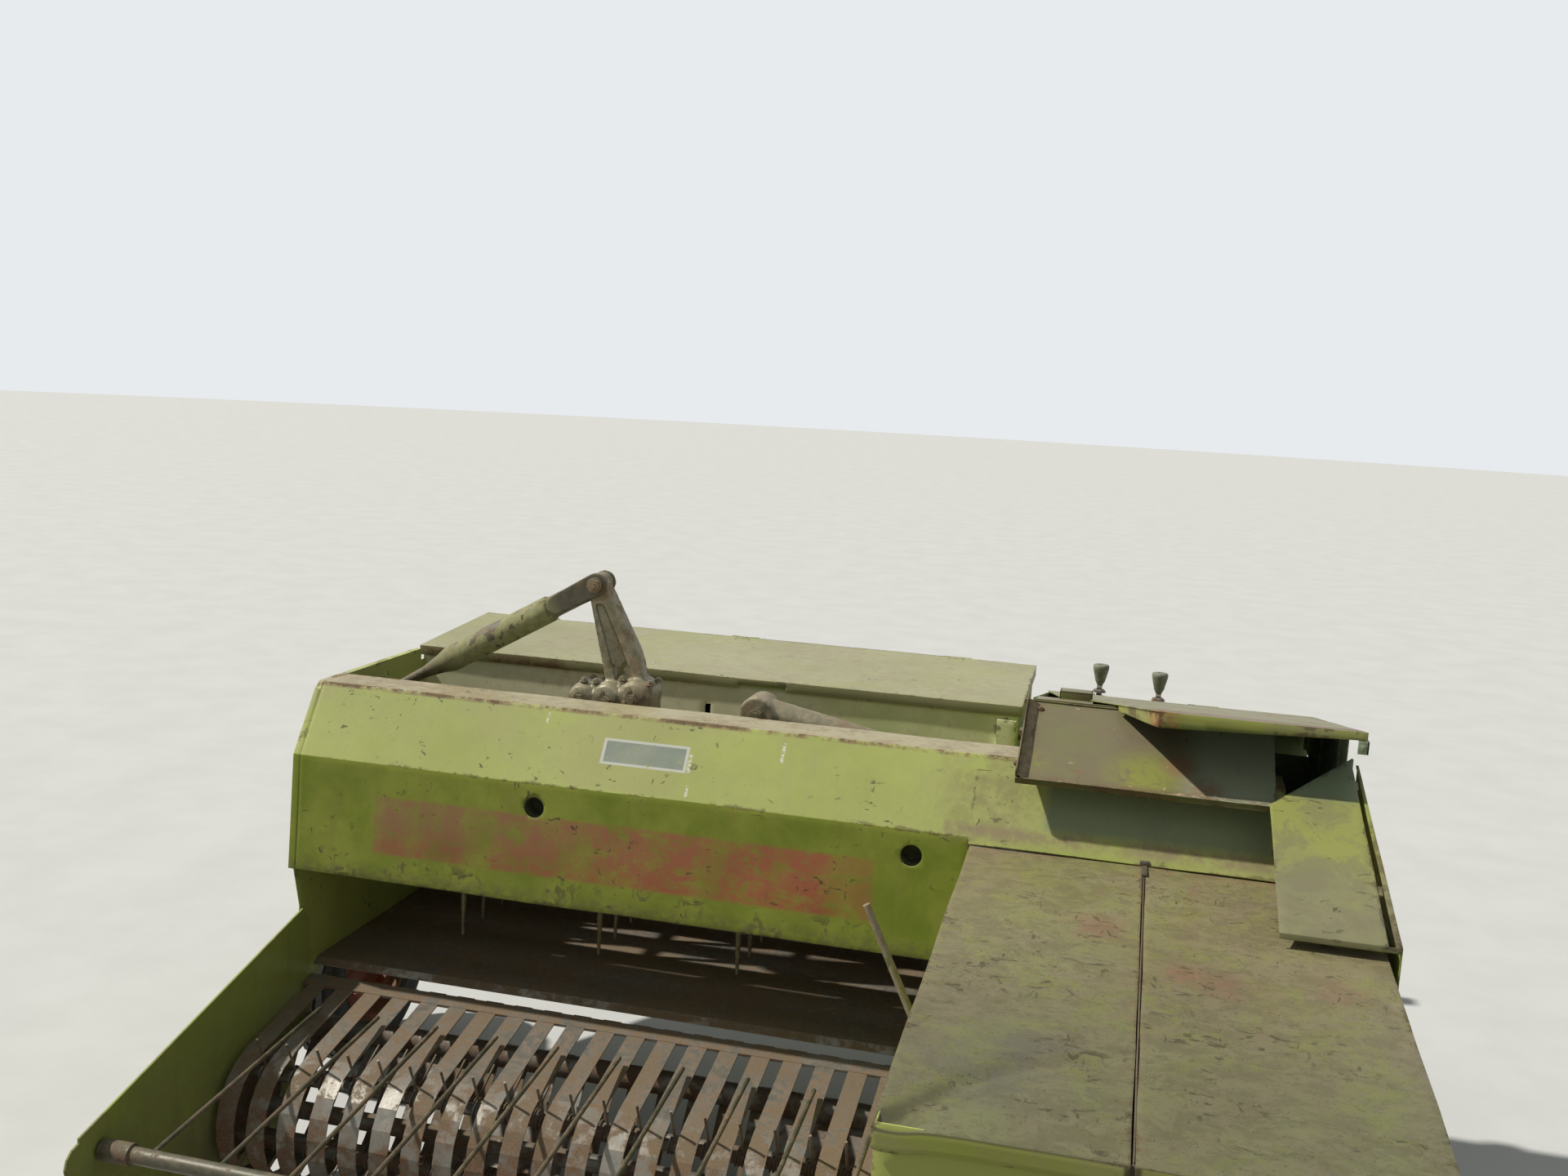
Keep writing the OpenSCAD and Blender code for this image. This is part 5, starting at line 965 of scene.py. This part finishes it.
panel = {"x": (2384, 2387), "stayX": (2378, 2384), "y": (160, 930), "stays": (240, 560, 880), "stayWidth": 22}
seal = {"strip": ([(254, 1262), (257, 1262), (257, 1287), (254, 1287)], 1716, 2226),
        "plate": ([(256, 1281), (426, 1256), (426, 1259), (256, 1284)], 1713, 1846)}


def upright(bm, y0, y1, below, x0, x1):   # a plate between the shield's line and the lid
    outline = [(y0, shieldTop(y0)), (y1, shieldTop(y1)), (y1, lidTop(y1) - below), (y0, lidTop(y0) - below)]
    prism(bm, outline, x0, x1)


def sidePanel():                      # plate under the outer end of the knotter lid, behind the drive shield: a painted shade sheet in a teal-green shade tone that closes the dark space under the lid
    bm = bmesh.new()
    upright(bm, *panel["y"], 9, *panel["x"])
    for y in panel["stays"]:
        upright(bm, y, y + panel["stayWidth"], 12, *panel["stayX"])
    finished(bm, "sidePanel", "dark", "baler", 0.0008)
    bm = bmesh.new()
    for outline, x0, x1 in seal.values():   # the seal behind the tray
        prism(bm, outline, x0, x1)
    finished(bm, "traySeal", "tray", "baler", 0.0008)


heap = {"x0": 1709, "stepX": 4.93, "countX": 107, "stepY": 4.85, "countY": 57,
        "side": 13, "lip": 9, "sunk": 1.6}


def trayDirt():                       # chaff and earth packed along the tray's left flange and front lip
    bm = bmesh.new()
    tilt, x0, sunk = math.atan(127 / 250), heap["x0"], heap["sunk"]
    rows = []
    for i in range(heap["countX"]):
        row = []
        for j in range(heap["countY"]):
            x, s = x0 + i * heap["stepX"], 0.5 + j * heap["stepY"]
            n = noise.fractal(Vector((x, s, 3)) * 0.045, 0.6, 2.1, 4)
            n2 = noise.noise(Vector((x, s, 9)) * 0.012)
            h = heap["side"] * math.exp(-((x - x0) / 15) ** 2) * (0.85 + 0.35 * n + 0.35 * n2)
            h = h + heap["lip"] * math.exp(-s / 9) * (0.55 + 0.8 * n + 0.8 * n2) + max(0, n - 0.55) * 5 - sunk
            h = max(-sunk, h)
            y, z = s * math.cos(tilt) - h * math.sin(tilt), 1155 + s * math.sin(tilt) + h * math.cos(tilt)
            row.append((bm.verts.new(at(x, y, z)), h))
        rows.append(row)
    for a, b in zip(rows, rows[1:]):
        for k in range(heap["countY"] - 1):
            q = (a[k], b[k], b[k + 1], a[k + 1])
            if max(h for v, h in q) > -0.8:
                bm.faces.new([v for v, h in q])
    bmesh.ops.delete(bm, geom=[v for v in bm.verts if not v.link_faces], context="VERTS")
    join(fromBmesh("trayDirt", bm), "soil", "baler", sharp=70)


backCups()
boxPieces(boxed)
sidePanel()
trayDirt()
boxPieces(covered)
print("fittings made")


def grid(xs, ys, zs, aim):            # stations row by row, each with the way that its bolt points
    return [(at(x, y, z), aim) for x in xs for y in ys for z in zs]


def ring(count, radius, start=0.0):   # offsets round a circle
    turns = [2 * math.pi * k / count + start for k in range(count)]
    return [(radius * math.cos(a), radius * math.sin(a)) for a in turns]


chamberX = 1923                       # middle of the bale chamber
hub = {"x": 668, "z": 1170, "caps": ((-76, 26), (-44, 26), (26, 40), (98, 34)), "eyes": ((-10, -14), (62, -2))}
endPlates = ((9.2, toLeft), (1606.3, toRight))
plateRing = [(-230 + 46 * math.cos(a), 250 + 46 * math.sin(a)) for a in (0.4, 1.97, 3.54, 5.11)]
plateSpots = ((-700, 430), (-760, 400), (-40, 560), (20, 600), (-520, 200))
endSpots = ((60, 1030), (180, 1100), (330, 1120), (500, 1120), (120, 520), (320, 500), (520, 520), (60, 700),
            (560, 700))
fasteners = {
    "coverBolts": {"radius": 0.0075, "slot": "faded_paint", "seed": 4,
                   "rows": grid((1623.8,), (-1040, -700, -360), (880, 820), toLeft) +
                   grid((2426.2,), (-1040, -700, -360), (880, 820), toRight)},
    "catchBolts": {"radius": 0.0058, "slot": "faded_paint", "seed": 5,
                   "rows": grid((1971, 2005), (3,), (seamTop + 5,), toSky)},
    "trayBolts": {"radius": 0.0066, "slot": "faded_paint", "seed": 6,
                  "rows": [(at(x, 224, 1155 + 224 * 0.508 + 0.4), (0, -0.453, 0.891)) for x in (1735, 1990, 2222)] +
                  [(at(1705, y, 1172 + y * 0.508), toLeft) for y in (30, 130, 226)]},
    "shieldBolts": {"radius": 0.0075, "seed": 7,
                    "rows": grid((2450.2,), (-300, -60, 190, 430, 800), (812, 905), toRight)},
    "boxBolts": {"radius": 0.0068, "seed": 8,
                 "rows": grid((60, 330, 600, 1120, 1400), (634.8,), (930, 900), toFront) +
                 grid((3.2,), (680, 860, 1040), (860, 1080), toLeft) +
                 grid((1657.2,), (700, 1040), (870, 1090), toRight)},
    "endBolts": {"radius": 0.0085, "seed": 9, "rows": [(at(-0.2, y, z), toLeft) for y, z in endSpots]},
    "plateBolts": {"radius": 0.0078, "body": "pickup", "seed": 10,
                   "rows": [(at(x, y, z), d) for x, d in endPlates for y, z in plateRing] +
                   [(at(x, y, z), d) for x, d in endPlates for y, z in plateSpots]},
    "gearBolts": {"radius": 0.0095, "seed": 11,
                  "rows": grid((chamberX - 118, chamberX + 118), (-880, -770, -660), (610.3,), toSky) +
                  [(at(chamberX + a, -1164.3, 540 + b), toFront) for a, b in ring(6, 46, 0.3)] +
                  [(at(chamberX + a, -780 + b, 634.2), toSky) for a, b in ring(6, 66)]},
    "chamberBolts": {"radius": 0.0098, "seed": 12,
                     "rows": [row for x, d in ((2159.2, toRight), (1686.8, toLeft)) for row in
                              grid((x,), (-520, -380, -240, -100), (500, 790), d) +
                              grid((x,), range(60, 1001, 188), (868,), d)] +
                     grid((2183.3,), (1140, 2080), (520, 870), toRight) +
                     grid((1662.7,), (1140, 2080), (520, 870), toLeft)},
    "bridgeBolts": {"radius": 0.0088, "seed": 13,
                    "rows": grid((chamberX - 299.2,), (1953, 1983), (920, 500, 860), toLeft) +
                    grid((chamberX + 299.2,), (1953, 1983), (920, 500, 860), toRight) +
                    grid((chamberX - 206, chamberX + 206), (1420, 1560, 1740, 1900), (882.3,), toSky) +
                    grid((chamberX - 98, chamberX + 98), (1338, 1658, 1968), (894.3,), toSky)},
    "frameBolts": {"radius": 0.0105, "seed": 14,
                   "rows": grid((180, 900, 1580), (530, 590), (380.2,), toSky) +
                   grid((2223.2,), (-1060, -700, -200, 300, 800), (400, 440), toRight) +
                   grid((1440, 1660, 2060, 2190), (-1140.2,), (400, 440), toFront)},
    "lidRivets": {"radius": 0.0045, "body": "twine_box_lid", "slot": "faded_paint", "seed": 15, "builder": rivetOn,
                  "finish": "lid",
                  "rows": grid([x for x in range(40, 1640, 118) if not 900 < x < 1060], (640,), (1186.3,), toSky)},
    "hoodWallBolts": {"radius": 0.0075, "seed": 16,
                      "rows": grid((1712.8,), (300, 560, 820), (960, 1120), toLeft) +
                      grid((1740, 1923, 2110), (939.8,), (900, 1100), toRear)},
    "pivotNuts": {"radius": 0.0155, "slot": "cast_metal", "seed": 17, "finish": "arm",
                  "rows": [(at(hub["x"] + a, 316.6, hub["z"] + b), toFront) for a, b in ((-76, -16), *hub["eyes"])] +
                  [(at(613, 330.6, 1444), toFront), (at(613, 419.4, 1444), toRear),
                   (at(40, 344.6, 1112), toFront), (at(1045, 332.6, 1160), toFront)]},
    "capNuts": {"radius": 0.0098, "slot": "cast_metal", "seed": 18, "finish": "arm",
                "rows": [(at(hub["x"] + a, 341, hub["z"] + b + 0.3), toSky) for a, b in hub["caps"]] +
                [(at(hub["x"] + a, 409, hub["z"] + b - 4), toSky) for a, b in hub["caps"]] +
                [(at(hub["x"] + a + 24 * math.cos(t), 321, hub["z"] + b + 24 * math.sin(t)),
                  (0.25 * math.cos(t), -1, 0.25 * math.sin(t))) for a, b in hub["eyes"] for t in (0.5, 2.1, 3.7, 5.3)]}}
for name, s in fasteners.items():
    bolts(name, **s)
print("fasteners made:", sum(len(s["rows"]) for s in fasteners.values()))


# Turned and wound parts

# places are x and how far the spindle is screwed out
spindles = {"places": ((1825, 12), (2021, 2)), "y": 1968, "foot": 894, "bridge": 948, "threads": 22,
            "spring": {"Radius": 0.0185, "Wire": 0.0030, "Turns": 3.6, "Length": 0.022, "Seed": 2},
            "grip": [(0.0, 0), (0.009, 0), (0.0136, 0.010), (0.0150, 0.0135), (0.0160, 0.0130), (0.0208, 0.034),
                     (0.0218, 0.036), (0.0222, 0.040), (0.0230, 0.042), (0.0256, 0.054), (0.0266, 0.058),
                     (0.0268, 0.066), (0.0250, 0.0705), (0.0205, 0.072), (0.009, 0.0722), (0.0085, 0.0708),
                     (0.0, 0.0706)]}


def tensionGear():                    # spindles with wound springs, nuts, crank arms and ribbed grips
    s = spindles
    y, foot, bridge = s["y"], s["foot"], s["bridge"]
    bm, grips, springs = bmesh.new(), bmesh.new(), []
    for x, lift in s["places"]:
        top = bridge + 34 + lift
        threads = [(0.0095 - 0.0007 * (k % 2), 0.054 + 0.0016 * k) for k in range(s["threads"])]
        lathe(bm, at(x, y, foot), toSky, [(0, 0), (0.0095, 0)] + threads +
              [(0.0098, (top - foot) / 1000), (0, (top - foot) / 1000)], 20)
        for z, r, h in ((bridge + 0.2, 0.024, 0.003), (bridge + 25 + lift, 0.0225, 0.003)):
            lathe(bm, at(x, y, z), toSky, [(0, 0), (r, 0), (r, h), (0, h)], 24)
        lathe(bm, at(x, y, top - 6), toSky, [(0, 0), (0.0196, 0), (0.0196, 0.005), (0.0186, 0.006), (0, 0.006)], 6)
        strap(bm, [at(x, y + d, top + 4) for d in (-9, 12, 43)], 0.017, (1, 0, 0), 0.0078)
        lathe(grips, at(x, y + 34, top + 8), toSky, s["grip"], 40)
        springs.append((at(x, y, bridge + 3.5), toSky))
    finished(bm, "tensionSpindles", "steel", "baler", covers=("tension_cranks",), sharp=35)
    finished(grips, "tensionGrips", "grip", "baler", sharp=50)
    onPoints("tensionSprings", coilOn, springs, s["spring"], "steel", "baler", sharp=60)


coils = {"turns": (20, 110, 200, 290), "count": 20, "pitch": 75, "reach": 100, "axis": (-230, 250),
         "sizes": {"Radius": 0.0165, "Wire": 0.0027, "Turns": 4.0, "Length": 0.030, "Seed": 4}}


def reelCoils():                      # spring coils at the tines' feet
    rows = []
    x0 = (9.5 + 6 + 1600 - coils["count"] * coils["pitch"]) / 2
    for a in map(math.radians, coils["turns"]):
        y, z = coils["axis"][0] - coils["reach"] * math.sin(a), coils["axis"][1] + coils["reach"] * math.cos(a)
        rows += [(at(x0 + (i + 0.5) * coils["pitch"] - 16, y, z), toRight) for i in range(coils["count"])]
    onPoints("reelCoils", coilOn, rows, coils["sizes"], "steel", "pickup_reel", sharp=60)


chain = {"x": 2250, "lower": (740, 800, 54), "upper": (760, 1010, 64), "pitch": 19, "width": 0.008}


def knotterChain():                   # roller chain between the side drive and the knotter shaft
    (y0, z0, r0), (y1, z1, r1) = chain["lower"], chain["upper"]
    lean = math.atan2(z1 - z0, y1 - y0)
    spread = math.acos((r0 - r1) / math.hypot(y1 - y0, z1 - z0))
    path = []
    for y, z, r, start, sweep in ((y0, z0, r0, lean + spread, 2 * math.pi - 2 * spread),
                                  (y1, z1, r1, lean - spread, 2 * spread)):
        for k in range(41):
            a = start + sweep * k / 40
            path.append((y + r * math.cos(a), z + r * math.sin(a)))
    path.append(path[0])
    lengths = [math.dist(a, b) for a, b in zip(path, path[1:])]
    total = sum(lengths)
    count = round(total / chain["pitch"])
    rows, along = [], []
    for i in range(count):
        s, k = i * total / count, 0
        while s > lengths[k]:
            s -= lengths[k]
            k += 1
        (ya, za), (yb, zb) = path[k], path[k + 1]
        t = s / lengths[k]
        rows.append((at(chain["x"], ya + (yb - ya) * t, za + (zb - za) * t), toRight))
        along += [0, (yb - ya) / lengths[k], (zb - za) / lengths[k]]
    onPoints("knotterChain", chainOn, rows, {"Pitch": total / count / 1000, "Width": chain["width"], "Seed": 1},
             "bolt", "baler", along=along)


tensionGear()
reelCoils()
knotterChain()

axleY = 560
wheels = {"inner": {"x": 2345, "radius": 345, "width": 190, "bead": 190, "ribs": 5, "out": 1},
          "outer": {"x": -135, "radius": 300, "width": 150, "bead": 178, "ribs": 4, "out": -1}}


wallRings = ((0, 0.36), (8, 0.372), (15, 0.37), (24, 0.44), (30, 0.452), (33, 0.446), (38, 0.455))
shoulderTurns = (-4, 12, 28, 44, 58)


def tyre(side, x, radius, width, bead, ribs, **others):
    # tyre with zigzag ribs, shoulder lugs and rings on its sidewalls
    bm = bmesh.new()
    node, r, w, steps = "tyre_" + side, radius, width, 120
    middle = at(x, axleY, r)
    half = [(bead + a, b) for a, b in wallRings]
    half += [(r - w * 0.30 + w * 0.28 * math.sin(a), 0.22 + 0.28 * math.cos(a))
             for a in map(math.radians, shoulderTurns)]
    edge = 0.27 / (ribs - 1) * 0.72
    rows = []
    for k in range(steps):
        a = 2 * math.pi * k / steps
        zig = 0.014 if k % 6 < 3 else -0.014
        tread = []
        for i in range(ribs):
            mid = -0.27 + 0.54 * i / (ribs - 1)
            crown = r - 1.5 if i in (0, ribs - 1) and k % 6 > 3 else r   # shoulder lugs
            tread += [(r - 10, mid - edge - 0.006 + zig), (crown, mid - edge + 0.008 + zig),
                      (crown, mid + edge - 0.008 + zig), (r - 10, mid + edge + 0.006 + zig)]
        line = [(p, -q) for p, q in half] + tread + half[::-1]
        rows.append([bm.verts.new(middle + Vector((q * w / 1000, p / 1000 * math.cos(a), p / 1000 * math.sin(a))))
                     for p, q in line])
    for a, b in zip(rows, rows[1:] + rows[:1]):
        n = len(a)
        for i in range(n):
            bm.faces.new((a[i], a[(i + 1) % n], b[(i + 1) % n], b[i]))
    finished(bm, node + "Tread", "tyre", bodyOf[node], covers=(node,), sharp=40)


hubCap = [(0, 0), (0.0385, 0), (0.0385, 0.006), (0.034, 0.0085), (0.031, 0.020), (0.024, 0.027), (0, 0.029)]
valve = [(0, 0), (0.0045, 0), (0.0045, 0.018), (0.0036, 0.019), (0.0036, 0.030), (0, 0.030)]


def wheelFittings(side, x, radius, width, out, **others):   # hub cap, wheel nuts and the valve
    bm = bmesh.new()
    aim, z, body = (out, 0, 0), radius, "wheel_" + side
    bead = 190 if side == "inner" else 178
    lathe(bm, at(x + out * width * 0.24, axleY, z), aim, hubCap, 28)
    lathe(bm, at(x + out * width * 0.20, axleY + (bead - 34) * 0.9, z + (bead - 34) * 0.43), aim, valve, 10)
    finished(bm, side + "WheelCap", "wheel", body)
    rows = [(at(x + out * width * 0.06, axleY + a, z + b), aim) for a, b in ring(6, 62, 0.26)]
    bolts(side + "WheelNuts", rows, 0.0098, 21, body=body, slot="wheel_paint")


for make in (tyre, wheelFittings):
    for side, s in wheels.items():
        make(side, **s)

gauge = {"place": (-69, -315, 145),
         "cap": [(0, 0), (0.020, 0), (0.020, 0.003), (0.013, 0.0035), (0.012, 0.006), (0, 0.0065)],
         "outline": [(14.6, -41), (32, -41), (36, -27), (52, -25), (69, -27), (78, -39.5), (96, -42.5),
                     (118, -44.4), (121, -44.4)],
         "crown": [(145, -3), (144.2, -1), (145.3, 0)]}


def gaugeWheel():                     # solid tyre with a parting line and a dished hub
    x, y, z = gauge["place"]
    bm = bmesh.new()
    shoulder = [(121 + 24 * math.sin(a), -21 - 23.5 * math.cos(a)) for a in map(math.radians, (15, 35, 55, 75, 90))]
    line = gauge["outline"] + shoulder + gauge["crown"]
    full = line + [(a, -b) for a, b in line[::-1][1:]]
    lathe(bm, at(x, y, z), toRight, [(a / 1000, b / 1000) for a, b in full], 56, closed=True)
    finished(bm, "gaugeTyre", "tyre", "gauge", covers=("gauge_wheel",), sharp=30)
    bm = bmesh.new()
    lathe(bm, at(x - 47, y, z), toLeft, gauge["cap"], 20)
    finished(bm, "gaugeCap", "bolt", "pickup")


gaugeWheel()
print("wheels made")

for node in frame["nodes"].values():  # the bands and the reel still show, and every node keeps a finish
    if node.name in ("pickup_bands", "reel") or not node.data.materials or node.data.materials[0] is None:
        node.data.materials.clear()
        node.data.materials.append(finishes["steel"])


def makeFloor():
    bm = bmesh.new()
    bmesh.ops.create_circle(bm, cap_ends=True, radius=60, segments=64)
    floor = fromBmesh("floor", bm)
    f = Finish("paleFloor")
    seen = f.mix(f.ease(f.noise(3, 6, 0.6), 0.3, 0.7), (0.60, 0.60, 0.57), (0.64, 0.64, 0.61))
    color = f.mix(Val(f.tree, directRays(f.tree)), (0.20, 0.21, 0.17), seen)
    floor.data.materials.append(f.close(color, 0.9))


makeFloor()
